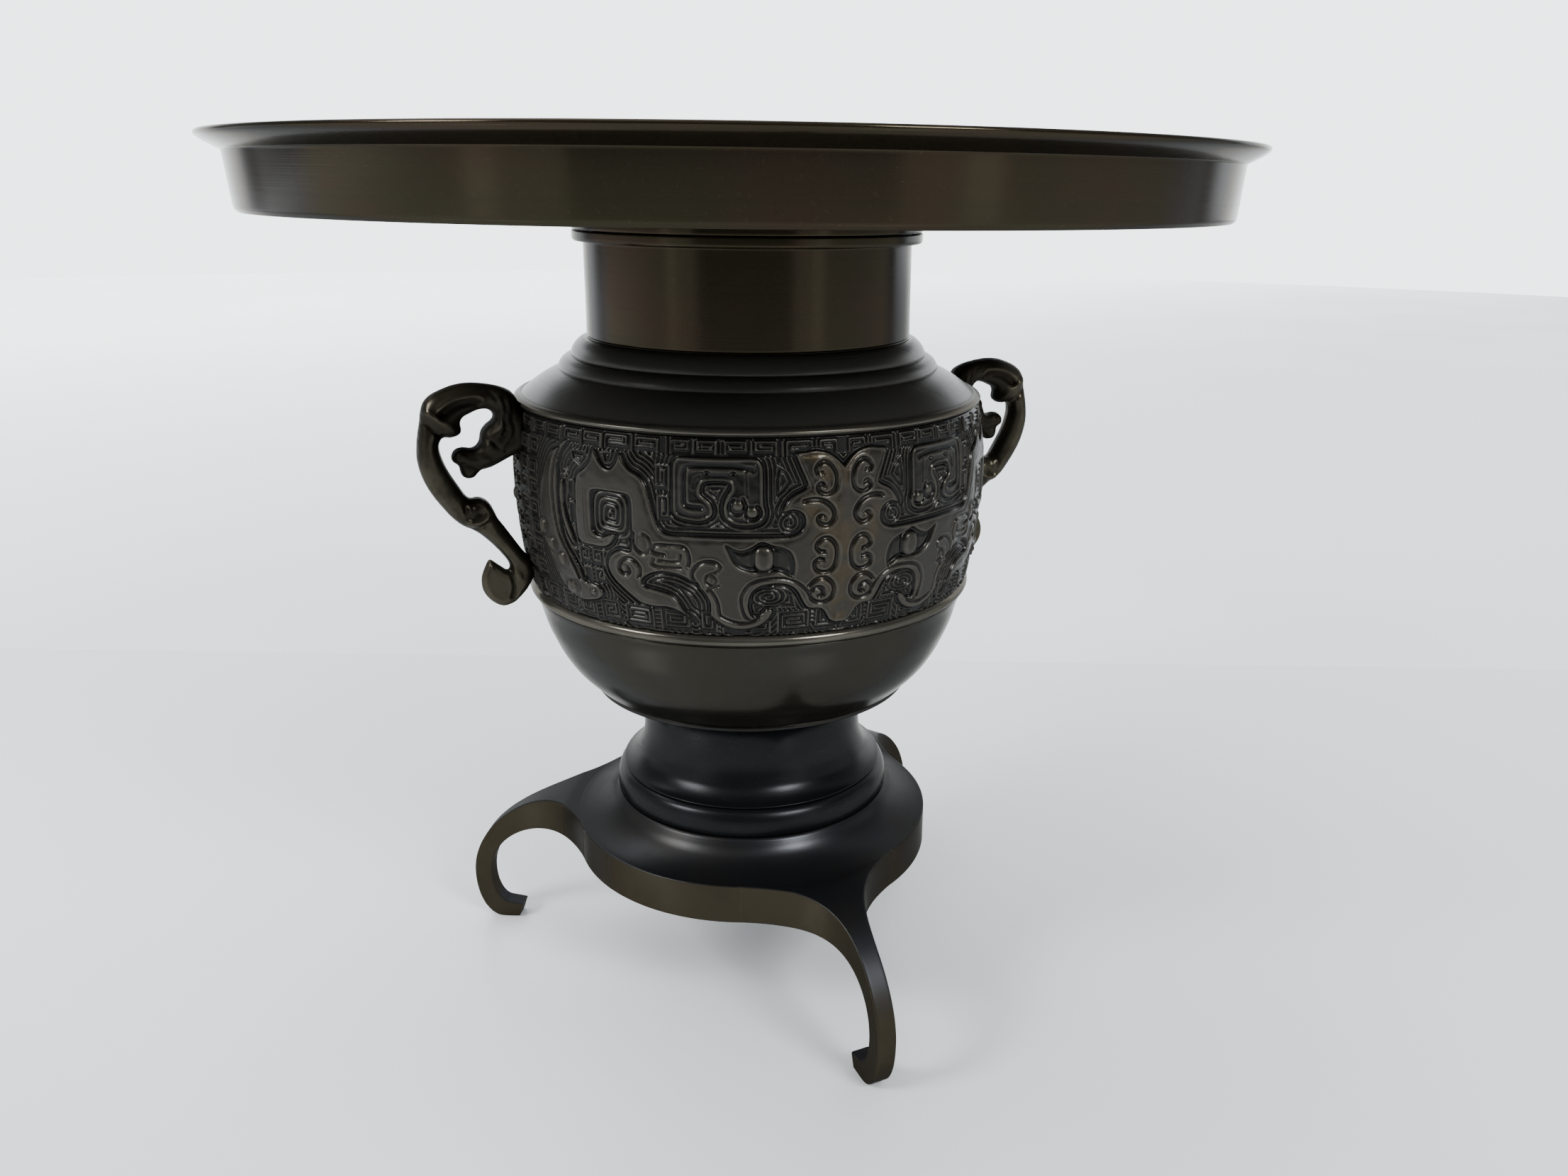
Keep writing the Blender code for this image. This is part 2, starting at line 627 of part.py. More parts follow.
def smooth_stations(points, steps):
    """Stations on a smooth curve through the given ones."""
    result = []
    last = len(points) - 1
    for index in range(last):
        a = points[max(index - 1, 0)]
        b, c = points[index], points[index + 1]
        d = points[min(index + 2, last)]
        for part in range(steps):
            t = part / steps
            result.append(tuple(
                0.5 * (2 * q + (r - p) * t + (2 * p - 5 * q + 4 * r - s) * t * t
                       + (3 * q - p - 3 * r + s) * t ** 3)
                for p, q, r, s in zip(a, b, c, d)))
    result.append(points[-1])
    return result


def make_stroke(name, points, steps, side):
    """An oval bar that follows a smooth path in the handle's upright plane."""
    wall = BAND_RADIUS - RELIEF_LIFT
    foot = BAND_BOTTOM - HANDLE_FOOT_DROP
    stations = []
    for reach, rise, thick, wide in smooth_stations(points, steps):
        stations.append((
            wall + reach * HANDLE_REACH, foot + rise * HANDLE_HEIGHT,
            thick * HANDLE_HEIGHT, wide * HANDLE_HEIGHT))
    bm = bmesh.new()
    rings = []
    last = len(stations) - 1
    for index, (r, h, thick, wide) in enumerate(stations):
        before = stations[max(index - 1, 0)]
        after = stations[min(index + 1, last)]
        run = Vector((after[0] - before[0], 0, after[1] - before[1])).normalized()
        normal = Vector((run.z, 0, -run.x))
        ring = []
        for corner in range(HANDLE_SIDES):
            turn = 2 * math.pi * (corner + 0.5) / HANDLE_SIDES
            point = Vector((r, 0, h)) + normal * thick * math.cos(turn)
            point.y += wide * math.sin(turn)
            point.x *= side
            ring.append(bm.verts.new(point))
        rings.append(ring)
    join_rings(bm, rings)
    bm.faces.new(rings[0])
    bm.faces.new(rings[-1])
    return add_object(name, bm)


def wall_cutter():
    """The body's own band and shoulder, larger by the gap that the handles keep."""
    reach = TOUCH_GAP
    rows = [(0, BASE), (SAUCER_RADIUS, BASE), (BOWL_RADIUS + LOWER_BEAD_BULGE + reach, BOWL_TOP)]
    rows += [(BOWL_RADIUS + LOWER_BEAD_BULGE + reach, BAND_BOTTOM - BAND_GROOVE)]
    rows += [(r + reach, h) for r, h in band_rows()]
    rows += [(band_rows()[-1][0] + reach, BEAD_BOTTOM - reach)]
    rows += [(SHOULDER_BEAD_RADIUS + reach, BEAD_BOTTOM - reach)]
    rows += [(SHOULDER_BEAD_RADIUS + reach, CONE_TOP + CONE_HEIGHT), (0, CONE_TOP + CONE_HEIGHT)]
    return turned(rows, BODY_SIDES, BODY_PHASE)


def make_handle(name, side):
    """One handle: a beast's head with its bow, paw, strap and leaf."""
    material = bronze(name + "_bronze", (0.045, 0.038, 0.030), 0.42)
    handle = make_stroke(name, HANDLE_SPINE, 2, side)
    handle.data.materials.append(material)
    for part, points in (("snout", HANDLE_SNOUT), ("lobe", HANDLE_LOBE), ("leaf", HANDLE_LEAF)):
        boolean(handle, make_stroke(name + "_" + part, points, 1, side), 'UNION')
    boolean(handle, add_object(name + "_wall", wall_cutter()), 'DIFFERENCE')
    return handle


def main():
    clear_scene()
    make_stand()
    make_body()
    make_handle("handle_left", -1)
    make_handle("handle_right", 1)
    make_dish()


main()
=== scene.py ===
"""Finished looks of the usubata flower vase: dish, hollow body, relief band, beast handles
and tripod stand in patinated bronze, with a pale studio stage.

Shapes are in millimetres where a list says so, and in metres elsewhere. The masks of the
relief face -Y and +Y, and the handles stand on -X and +X."""

import math

import bmesh
import bpy
import numpy as np
from bpy.props import FloatProperty, FloatVectorProperty, IntProperty, PointerProperty
from mathutils import Matrix, Vector


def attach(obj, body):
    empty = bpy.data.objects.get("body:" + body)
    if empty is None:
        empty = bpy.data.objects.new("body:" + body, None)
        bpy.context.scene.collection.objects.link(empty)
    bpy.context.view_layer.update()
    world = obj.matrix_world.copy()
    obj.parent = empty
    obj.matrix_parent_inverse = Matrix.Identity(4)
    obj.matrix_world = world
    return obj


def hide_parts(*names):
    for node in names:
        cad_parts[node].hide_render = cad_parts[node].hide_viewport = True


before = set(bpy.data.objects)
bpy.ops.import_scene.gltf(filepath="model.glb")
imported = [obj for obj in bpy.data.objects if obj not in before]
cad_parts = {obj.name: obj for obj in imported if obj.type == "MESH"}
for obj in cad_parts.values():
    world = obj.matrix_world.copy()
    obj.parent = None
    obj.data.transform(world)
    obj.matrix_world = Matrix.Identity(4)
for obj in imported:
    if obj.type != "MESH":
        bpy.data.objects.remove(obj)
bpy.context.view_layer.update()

bl_info = {
    "name": "Usubata flower vase",
    "version": (1, 0, 0),
    "blender": (4, 5, 0),
    "location": "3D View > Sidebar > Usubata",
    "description": "Builds a bronze flower vase with its dish, relief band, handles and tripod stand",
    "category": "Object",
}

MM = 0.001
BODY = "root"

# Photograph's frame in pixels, the camera's principal point in it, and the sensor in mm
PHOTO_WIDTH = 2212
PHOTO_HEIGHT = 1659
PRINCIPAL_POINT = (1178.7, 806.7)
SENSOR_WIDTH = 36

# Relief band: foot height, height, radius at its widest, and arc length of one degree, in mm
BAND_FOOT = 146.2
BAND_HEIGHT = 59.8
BAND_RADIUS = 80.0
BAND_WIDEST = 0.63
BAND_FOOT_DROP = 3.7
BAND_HEAD_DROP = 2.0
ARC_DEGREE = 1.3875

# Thickness of the band and spacing of its back in mm, and the degree past which its columns are
# wider, with their count
BAND_WALL = 0.9
BACK_SPACING = 7.5
NEAR_DEGREES = 65
FAR_COLUMNS = 74

# Eased edges: reach of the support points beside them in mm, the smallest turn that is eased, and
# the largest share of a side that an edge takes
EDGE_HOLD = 0.5
EASED_TURN = math.radians(14)
EASED_SHARE = 0.45

# Height in metres by which an edge stands out for its wear and highlight measure to reach 1, and angles past
# which an edge is sharp
WEAR_AND_HIGHLIGHT_REACH = 0.0004
SHARP_ANGLE = math.radians(50)
STAGE_SHARP_ANGLE = math.radians(30)

# Tint of the bronze where it is seen edge on
EDGE_TINT = (0.31, 0.30, 0.27)

# Tones of the finishes beside those that a user may change
BLACK = (0.0, 0.0, 0.0)
BOWL_TONES = ((0.022, 0.0205, 0.0160), (0.0240, 0.0235, 0.0215))
# Beads are lighter: partly their own colour, partly a painted highlight for the bright line along them.
BEAD_TONE = (0.080, 0.076, 0.063)
BROWN_PATCH = (0.035, 0.0265, 0.0150)
ROOM_TINT = (0.93, 0.96, 1.0)

# Heights in metres over which the turned pieces change their tone
WAIST_TOP = (0.1060, 0.1075)
BOWL_FOOT = (0.1055, 0.1085)
LOW_BEAD = ((0.1424, 0.1434), (0.1462, 0.1458))
CONE_FOOT = (0.206, 0.2065)
HIGH_BEAD = ((0.2062, 0.2068), (0.2090, 0.2082))
SHOULDER = ((0.2085, 0.2095), (0.2268, 0.2262))
NECK_FOOT = (0.2260, 0.2268)
DISH_FOOT = (0.2600, 0.2610)

# Lights as name, place, target, size in metres and power in watts
LIGHTS = (
    ("overhead", (-0.4, 0.7, 1.9), (0, 0, 0), (1.6, 1.6), 33),
    ("left_lamp", (-1.225, -0.107, 1.0), (0, 0, 0.08), (0.42, 0.42), 19.5),
    ("right_lamp", (0.345, -1.128, 1.0), (0, 0, 0.08), (0.42, 0.42), 19.5),
    ("left_glow", (-1.45, -0.67, 0.25), (0, 0, 0.25), (0.6, 0.5), 0.9),
    ("right_glow", (0.55, -1.5, 0.25), (0, 0, 0.25), (0.6, 0.5), 0.9),
    ("left_card", (-1.243, 0.281, 0.25), (0, 0, 0.25), (1.7, 0.5), 2.1),
    ("right_card", (1.06, -0.692, 0.25), (0, 0, 0.25), (1.7, 0.5), 1.9))


# Sizes and colours that a user may change


def length_setting(label, description, default):
    """A length in metres."""
    return FloatProperty(name=label, description=description, unit='LENGTH', precision=5, default=default)


def angle_setting(label, description, degrees):
    """An angle, given in degrees."""
    return FloatProperty(name=label, description=description, subtype='ANGLE', default=math.radians(degrees))


def number_setting(label, description, default):
    """A number from 0 upwards."""
    return FloatProperty(name=label, description=description, min=0, default=default)


def colour_setting(label, description, default):
    """A colour."""
    return FloatVectorProperty(
        name=label, description=description, subtype='COLOR', size=3, min=0, max=1, default=default)


class VASE_PG_turning(bpy.types.PropertyGroup):
    """Turned pieces: dish, body and platform."""
    segments: IntProperty(
        name="Segments", description="Facets round each turned piece", default=256, min=48)
    edge_round: length_setting("Edge rounding", "Radius of the eased edges", 0.00028)
    neck_colour: colour_setting(
        "Neck colour", "Olive brown of the dish and neck", (0.0235, 0.0205, 0.012))
    warm_colour: colour_setting(
        "Warm colour", "Reddish brown where hands have polished the bronze", (0.027, 0.0195, 0.0125))
    # Lighter than the neck: partly a more diffuse grey patina, partly painted light that lifts the shade
    # under the dish.
    shoulder_colour_and_painted_light: colour_setting("Dark colour", "Near-black of the shoulder", (0.042, 0.042, 0.037))
    blue_colour: colour_setting(
        "Pedestal colour", "Blue-black of the pedestal", (0.0105, 0.0112, 0.0126))


class VASE_PG_relief(bpy.types.PropertyGroup):
    """The cast band of masks."""
    grid: length_setting("Grid", "Spacing of the relief's mesh", 0.00033)
    lift: length_setting("Lift", "Height of the figures over the ground", 0.0013)
    fret: length_setting("Fret", "Height of the key-fret lines over the ground", 0.00075)
    cut: number_setting("Cut", "Depth of the figures' grooves against the drawn depth", 1.25)
    rubbed_colour: colour_setting(
        "Rubbed colour", "Olive brown of the raised faces", (0.021, 0.0195, 0.016))
    recess_colour: colour_setting("Recess colour", "Black of the ground", (0.0060, 0.0060, 0.0058))


class VASE_PG_handles(bpy.types.PropertyGroup):
    """The two beast handles."""
    voxel: length_setting("Voxel", "Mesh size of the joined handle", 0.0005)
    colour: colour_setting("Colour", "Brown of the worn handle", (0.038, 0.034, 0.024))


class VASE_PG_stand(bpy.types.PropertyGroup):
    """The tripod stand."""
    turn: angle_setting("Turn", "Front leg's angle from the mask's ridge", 2.5)
    # The side and top colours are a painted pair: each face takes one by which way it faces, as painted
    # light and shade.
    side_colour: colour_setting("Side colour", "Olive brown of the legs' sides", (0.036, 0.031, 0.021))
    top_colour: colour_setting("Top colour", "Blue-black of the upper faces", (0.0215, 0.0225, 0.025))


class VASE_PG_stage(bpy.types.PropertyGroup):
    """Floor, lights and camera."""
    camera_place: FloatVectorProperty(
        name="Camera", description="Place of the camera", subtype='TRANSLATION', unit='LENGTH',
        size=3, default=(-0.14517, -0.39886, 0.2745))
    camera_turn: angle_setting("Turn", "Camera's heading, clockwise from +Y", 24.048)
    camera_tilt: angle_setting("Tilt", "Camera's fall below the level", 17.214)
    camera_roll: angle_setting("Roll", "Camera's lean", -0.783)
    focal_pixels: FloatProperty(
        name="Focal length", description="Focal length in pixels of the photograph",
        default=1761.9, subtype='PIXEL')
    floor_colour: colour_setting("Floor", "Pale floor", (0.728, 0.75, 0.763))
    room_colour: colour_setting("Room", "Tint of the room's light", ROOM_TINT)
    room_dim: number_setting("Dim side", "Light of the room behind the camera", 0.18)
    room_sides: number_setting("Sides", "Light added at the room's sides", 0.35)
    room_bright: number_setting("Bright side", "Light of the white room behind the vase", 3.4)
    room_ceiling: number_setting("Ceiling", "Light added by the pale ceiling", 0.7)


SETTINGS = {
    "vase_turning": VASE_PG_turning,
    "vase_relief": VASE_PG_relief,
    "vase_handles": VASE_PG_handles,
    "vase_stand": VASE_PG_stand,
    "vase_stage": VASE_PG_stage,
}


# Shader maths


def operator_pair(operation):
    """An arithmetic method that adds a Math node, and its reflected form."""

    def forward(self, other):
        return self.finish.node("ShaderNodeMath", {"operation": operation}, {0: self, 1: other})

    def reflected(self, other):
        return self.finish.node("ShaderNodeMath", {"operation": operation}, {0: other, 1: self})

    return forward, reflected


class Value:
    """A node's output whose arithmetic adds Math nodes to the finish."""

    def __init__(self, finish, socket):
        self.finish = finish
        self.socket = socket

    __add__, __radd__ = operator_pair('ADD')
    __sub__, __rsub__ = operator_pair('SUBTRACT')
    __mul__, __rmul__ = operator_pair('MULTIPLY')


class Finish:
    """Nodes that feed the shader of a material or of the world."""

    def __init__(self, block, shader="Principled BSDF"):
        block.use_nodes = True
        self.block = block
        self.tree = block.node_tree
        self.shader = self.tree.nodes[shader]

    def node(self, kind, settings=None, inputs=None, output=0):
        """Add a node, set it, give its sockets values or links, and return one output."""
        node = self.tree.nodes.new(kind)
        for name, value in (settings or {}).items():
            setattr(node, name, value)
        for key, value in (inputs or {}).items():
            self.feed(node.inputs[key], value)
        return Value(self, node.outputs[output])

    def feed(self, socket, value):
        """Link a value to a socket, or set it there."""
        if isinstance(value, Value):
            self.tree.links.new(value.socket, socket)
        elif isinstance(value, tuple) and socket.type == 'RGBA':
            socket.default_value = (*value, 1.0)
        else:
            socket.default_value = value

    def set(self, **sockets):
        """Set or link sockets of the shader by name, with _ for a space."""
        for name, value in sockets.items():
            self.feed(self.shader.inputs[name.replace("_", " ")], value)

    def place(self, output="Object"):
        """Object coordinates as a vector, or another output of the same node."""
        return self.node("ShaderNodeTexCoord", output=output)

    def axis(self, vector, name):
        """One component of a vector."""
        return self.node("ShaderNodeSeparateXYZ", inputs={0: vector}, output=name)

    def vector(self, operation, first, second, output=0):
        """Vector arithmetic on a vector and a tuple."""
        return self.node("ShaderNodeVectorMath", {"operation": operation}, {0: first, 1: second}, output)

    def noise(self, vector, scale, detail=2.0, roughness=0.5, distortion=0.0):
        """Noise from 0 to 1, near one half on average."""
        return self.node("ShaderNodeTexNoise", {}, {
            "Vector": vector, "Scale": scale, "Detail": detail, "Roughness": roughness,
            "Distortion": distortion})

    def between(self, value, low, high, start=0.0, end=1.0):
        """A smooth step from start to end as the value runs from low to high."""
        return self.node("ShaderNodeMapRange", {"interpolation_type": 'SMOOTHSTEP'}, {
            "Value": value, "From Min": low, "From Max": high, "To Min": start, "To Max": end})

    def inside(self, value, rising, falling):
        """1 between a rising and a falling smooth step, and 0 beyond them."""
        return self.between(value, *rising) * self.between(value, *falling)

    def mix(self, factor, first, second):
        """A colour between two colours."""
        return self.node("ShaderNodeMix", {"data_type": 'RGBA'}, {0: factor, 6: first, 7: second}, 2)

    def attribute(self, name):
        """A value kept on the mesh's vertices."""
        return self.node("ShaderNodeAttribute", {"attribute_name": name}, output="Fac")

    def bump(self, height, strength, distance):
        """A normal from a height in metres."""
        return self.node("ShaderNodeBump", {}, {
            "Strength": strength, "Distance": distance, "Height": height})


def scaled(colour, share):
    """A colour made lighter or darker."""
    return tuple(share * part for part in colour)


def new_finish(name):
    """The finish of a new material."""
    return Finish(bpy.data.materials.new(name))


def bronze_base(finish, colour, roughness, normal, metallic=0.7, tint=EDGE_TINT):
    """Set what every bronze of the vase shares."""
    finish.set(
        Base_Color=colour, Roughness=roughness, Metallic=metallic, Specular_Tint=tint, Normal=normal)
    return finish.block


# Meshes


def make_object(name, bm, material, sharp):
    """Turn a bmesh into an object with smooth shading and one material."""
    mesh = bpy.data.meshes.new(name)
    bm.to_mesh(mesh)
    bm.free()
    mesh.shade_smooth()
    if sharp:
        mesh.set_sharp_from_angle(angle=sharp)
    mesh.materials.append(material)
    piece = bpy.data.objects.new(name, mesh)
    bpy.context.scene.collection.objects.link(piece)
    return piece


def finish_piece(name, bm, material, slot, *nodes, sharp=SHARP_ANGLE):
    """Make a finished piece that rides on the vase and stands for CAD nodes."""
    piece = make_object(name, bm, material, sharp)
    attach(piece, BODY)
    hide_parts(*nodes)
    return piece


def smooth_run(points, steps, closed=False):
    """Points on a smooth curve through the given ones."""
    points = np.array(points, float)
    count = len(points)
    result = []
    for index in range(count if closed else count - 1):
        if closed:
            a, b, c, d = (points[(index + k) % count] for k in (-1, 0, 1, 2))
        else:
            a, b = points[max(index - 1, 0)], points[index]
            c, d = points[index + 1], points[min(index + 2, count - 1)]
        for part in range(steps):
            t = part / steps
            result.append(0.5 * (2 * b + (c - a) * t + (2 * a - 5 * b + 4 * c - d) * t * t
                                 + (3 * b - a - 3 * c + d) * t ** 3))
    if not closed:
        result.append(points[-1])
    return np.array(result)


def curve(points, steps=3):
    """A smooth curve through points, as a list of pairs."""
    return [tuple(point) for point in smooth_run(points, steps)]


def eased(points, reach, closed=False):
    """A section whose sharp corners are rounded over a short reach."""
    count = len(points)
    result = []
    for index, point in enumerate(points):
        here = Vector(point)
        if not closed and index in (0, count - 1):
            result.append(tuple(here))
            continue
        before = Vector(points[index - 1])
        after = Vector(points[(index + 1) % count])
        into, out = here - before, after - here
        if into.length < 1e-9 or out.length < 1e-9 or into.angle(out) < EASED_TURN:
            result.append(tuple(here))
            continue
        start = here - into.normalized() * min(reach, into.length * EASED_SHARE)
        end = here + out.normalized() * min(reach, out.length * EASED_SHARE)
        if into.length > 4 * EDGE_HOLD:
            result.append(tuple(start - into.normalized() * EDGE_HOLD))
        for t in (0.0, 0.25, 0.5, 0.75, 1.0):
            result.append(tuple((1 - t) ** 2 * start + 2 * t * (1 - t) * here + t * t * end))
        if out.length > 4 * EDGE_HOLD:
            result.append(tuple(end + out.normalized() * EDGE_HOLD))
    return result


def lathe(section, segments):
    """A bmesh turned round the axis from a section in millimetres."""
    bm = bmesh.new()
    verts = [bm.verts.new((r * MM, 0, h * MM)) for r, h in section]
    edges = [bm.edges.new(pair) for pair in zip(verts, verts[1:])]
    if section[0][0] > 0:
        edges.append(bm.edges.new((verts[-1], verts[0])))
    bmesh.ops.spin(
        bm, geom=verts + edges, cent=(0, 0, 0), axis=(0, 0, 1),
        angle=2 * math.pi, steps=segments, use_merge=True)
    bmesh.ops.remove_doubles(bm, verts=bm.verts, dist=1e-6)
    bmesh.ops.recalc_face_normals(bm, faces=bm.faces)
    return bm


def sheet(points, values=None):
    """A closed bmesh from a grid of points in metres whose last row meets its first.

    Its two open ends are filled, and values are kept on its vertices."""
    points = np.asarray(points, float)
    rows, columns = points.shape[:2]
    bm = bmesh.new()
    bmesh.ops.create_grid(bm, x_segments=columns - 1, y_segments=rows - 1, size=1)
    mesh = bpy.data.meshes.new("sheet")
    bm.to_mesh(mesh)
    bm.free()
    mesh.vertices.foreach_set("co", points.astype(np.float32).ravel())
    for name, value in (values or {}).items():
        layer = mesh.attributes.new(name, 'FLOAT', 'POINT')
        layer.data.foreach_set("value", np.asarray(value, np.float32).ravel())
    bm = bmesh.new()
    bm.from_mesh(mesh)
    bpy.data.meshes.remove(mesh)
    seam = [v for v in bm.verts if v.is_boundary]
    bmesh.ops.remove_doubles(bm, verts=seam, dist=1e-7)
    made = bmesh.ops.holes_fill(bm, edges=[e for e in bm.edges if e.is_boundary], sides=0)
    for face in made["faces"]:
        for edge in face.edges:
            edge.smooth = False
    bmesh.ops.recalc_face_normals(bm, faces=bm.faces)
    return bm


def loft(rings):
    """A closed bmesh tube through rings of points in metres."""
    rings = np.asarray(rings, float)
    return sheet(np.concatenate([rings, rings[:, :1]], axis=1).transpose(1, 0, 2))


# Sections in millimetres


def dish_section(reach):
    """Closed section of the dish: collar, seat ring, floor, wall and flared lip."""
    outer = [
        (47.5, 242.3), (49.9, 242.3), (49.9, 260.3), (57.0, 260.3), (57.0, 265.2),
        (100.0, 265.2), (151.4, 265.2), (152.3, 266.3), (153.7, 281.6)]
    lip = curve([
        (154.3, 281.9), (156.0, 282.8), (158.0, 283.9), (159.5, 284.9), (160.0, 285.7), (159.7, 286.4),
        (158.9, 286.6), (157.4, 286.2), (155.6, 285.3), (153.6, 283.9), (152.0, 282.1), (151.0, 279.4)])
    inner = [(148.6, 269.6), (147.0, 268.2), (100.0, 268.2), (47.5, 268.2)]
    return eased(outer + lip + inner, reach, closed=True)


def pedestal_curve():
    """Torus, step, waist and saucer of the pedestal."""
    torus = curve(
        [(48.9, 64.7), (49.1, 66.4), (49.0, 68.6), (48.5, 70.8), (47.6, 72.4), (46.5, 73.3)], 4)
    waist = curve([
        (46.7, 74.4), (45.0, 75.2), (43.2, 76.6), (41.5, 78.6), (40.5, 80.8), (39.6, 83.4), (39.0, 87.2),
        (39.1, 91.5), (39.7, 95.8), (41.0, 99.4), (43.2, 102.4), (46.6, 104.7), (51.0, 105.8),
        (54.8, 106.1)])
    saucer_rim = [(55.6, 106.3), (55.8, 107.0), (55.6, 107.8)]
    return [(0, 64.4), (48.6, 64.4)] + torus + [(45.7, 73.6), (46.6, 73.9)] + waist + saucer_rim


def bowl_curve():
    """Bowl and lower bead."""
    bowl = curve([
        (55.6, 108.2), (56.8, 108.6), (58.6, 110.5), (62.5, 114.5), (65.4, 118.5), (67.65, 122.5),
        (69.45, 126.5), (71.1, 130.5), (72.3, 134.5), (73.4, 138.5), (74.6, 141.6)])
    bead = curve([(75.1, 142.6), (75.9, 143.3), (76.2, 144.2), (75.9, 145.2), (75.3, 145.8)])
    return [(55.2, 108.0)] + bowl + [(74.7, 142.1), (74.5, 142.3)] + bead


def shoulder_curve():
    """Bead, cone, two convex bands, neck and flange."""
    bead = curve([(77.3, 206.7), (77.9, 207.2), (77.8, 207.9), (76.9, 208.6), (75.9, 208.9)])
    cone = curve([(75.3, 208.9), (72.6, 211.0), (69.4, 213.2), (66.2, 215.0), (63.4, 216.4)])
    lower = curve([(63.2, 216.9), (62.9, 217.9), (61.9, 219.3), (60.3, 220.3), (59.1, 220.7)])
    upper = curve([(58.9, 221.2), (58.6, 222.4), (57.4, 224.3), (55.6, 225.8), (54.0, 226.4)])
    neck = [
        (53.3, 226.3), (53.2, 226.6), (53.55, 226.9), (53.5, 240.0), (53.5, 256.6), (56.5, 256.7),
        (57.0, 257.4), (57.0, 259.7), (56.7, 260.0), (50.5, 260.0)]
    return bead + [(75.5, 208.7)] + cone + [(63.0, 216.5)] + lower + [(58.8, 220.7)] + upper + neck


def body_section(reach):
    """Half section of the hollow body, whose wall sinks behind the relief band."""
    behind = [(74.9, 146.1), (74.0, 146.5), (76.2, 165.0), (76.9, 184.0), (75.2, 205.6), (76.6, 206.1)]
    cavity = [
        (50.5, 224.9), (61.2, 214.2), (74.2, 204.7), (75.6, 184.0), (74.8, 165.0), (72.2, 146.6),
        (69.5, 135.9), (64.5, 122.9), (53.9, 111.6), (37.6, 101.8), (36.1, 86.2), (43.2, 73.4),
        (44.7, 67.4), (0, 67.4)]
    return eased(pedestal_curve() + bowl_curve() + behind + shoulder_curve(), reach) + cavity


def platform_section(reach):
    """Half section of the stand's platform, hollow below."""
    sweep = curve([
        (48.9, 64.1), (49.5, 63.6), (50.1, 62.7), (51.0, 61.3), (52.0, 60.1), (53.2, 59.0),
        (55.0, 57.75), (57.2, 56.6), (59.8, 55.65), (62.0, 55.1), (63.6, 54.9)], 4)
    hollow = [(64.0, 54.7), (64.0, 41.4), (60.5, 41.4), (60.5, 49.4), (45.2, 59.1), (0, 59.1)]
    return eased([(0, 64.1)] + sweep + hollow, reach)


# Relief: outlines and grooves as (degrees from the mask's ridge, mm over the band's foot)

# Half of the mask with its crest, brow, tail and jaw, from the top of the ridge to its chin
MASK = [
    (0, 51.5), (0.8, 52.7), (1.9, 54.1), (3.3, 55.4), (5, 56.1), (6.6, 56.3), (8.6, 55.9), (10.5, 55.4),
    (10, 53.1), (9.2, 50.4), (8.5, 48.1), (8.1, 46.1), (9.1, 44.9), (10.8, 43.8), (12.3, 41.8),
    (13.3, 38.8), (11.2, 39.4), (9.3, 38.3), (8.6, 35.8), (9.5, 32.9), (12, 31.5), (16, 31.4), (24, 31.5),
    (32, 31.5), (37, 31.4), (39.4, 33.1), (40.6, 37.3), (41.5, 41.8), (42.4, 45.7), (43.8, 48.1),
    (46, 49.5), (47.6, 51.7), (48.7, 54.1), (49.4, 51.5), (50.7, 49.3), (52.3, 49.3), (54, 51.3),
    (55.5, 54.3), (56.2, 51.1), (57.8, 48.5), (59.8, 46.5), (60.5, 43.8), (60.6, 38.3), (60.6, 30.3),
    (60.4, 26.7), (59.2, 25.3), (56, 25.1), (53.2, 25.2), (51.2, 26.7), (49.9, 29.7), (51.6, 29.4),
    (53.6, 28.4), (55.4, 29), (56.2, 30.7), (56.3, 36.3), (56.2, 40.9), (55.2, 42.3), (51, 42.5),
    (47, 42.3), (45.9, 41.1), (45.7, 36.3), (45.7, 30.3), (45.9, 27.3), (46.6, 25.1), (49, 25.1),
    (51.2, 23.6), (52.3, 21.1), (52.3, 18.7), (51.3, 16.1), (49.4, 13.7), (47.1, 11.3), (44.6, 9.1),
    (41.5, 8.5), (38.6, 8.7), (35.9, 7.7), (32.4, 4.5), (34.6, 7.4), (36, 10.7), (38, 13), (41, 13.9),
    (43.5, 14.5), (44.2, 16.3), (42.2, 18.7), (39.1, 19.9), (35.7, 19.5), (33.2, 18), (30.7, 15.3),
    (29.1, 11.7), (28.9, 8.8), (28.9, 7), (26.9, 4.4), (24.6, 2.9), (22.4, 2.4), (19.8, 2.8), (17.4, 4.3),
    (15.8, 6.7), (15.3, 8.6), (16.5, 9.1), (17.9, 7.3), (19.5, 6.6), (20.5, 8.9), (20.5, 11.8),
    (19.8, 14.4), (18.2, 16.2), (15.8, 17), (13.2, 16.9), (11.3, 15.9), (10, 14.1), (9.1, 11.7), (8.1, 9.4),
    (6.9, 8.5), (4.6, 8.1), (3.5, 6.5), (2.6, 4.4), (1.4, 3.3), (0, 3.1)]

# Square-cornered figure over the eye
PANEL = [
    (19.6, 54.4), (27, 54.4), (34.2, 54.4), (35.8, 53.5), (36.3, 51.7), (36.3, 45.3), (36.3, 39.3),
    (35.6, 37.3), (33.8, 36.4), (31.2, 36), (29.2, 36.4), (28, 37.7), (27.7, 39.6), (28.3, 41.7),
    (29.5, 43.1), (30.3, 44.3), (30.2, 46.3), (29.2, 47.5), (27.2, 47.8), (25, 47.7), (24, 46.7),
    (24.2, 45.1), (24.9, 43.7), (25.5, 41.9), (25.7, 39.5), (25.2, 37.1), (23.8, 35.6), (21.8, 35),
    (19.4, 35.1), (17.6, 36.3), (16.9, 38.7), (17.3, 41.8), (17.3, 48.3), (17.4, 51.9), (18.1, 53.7)]

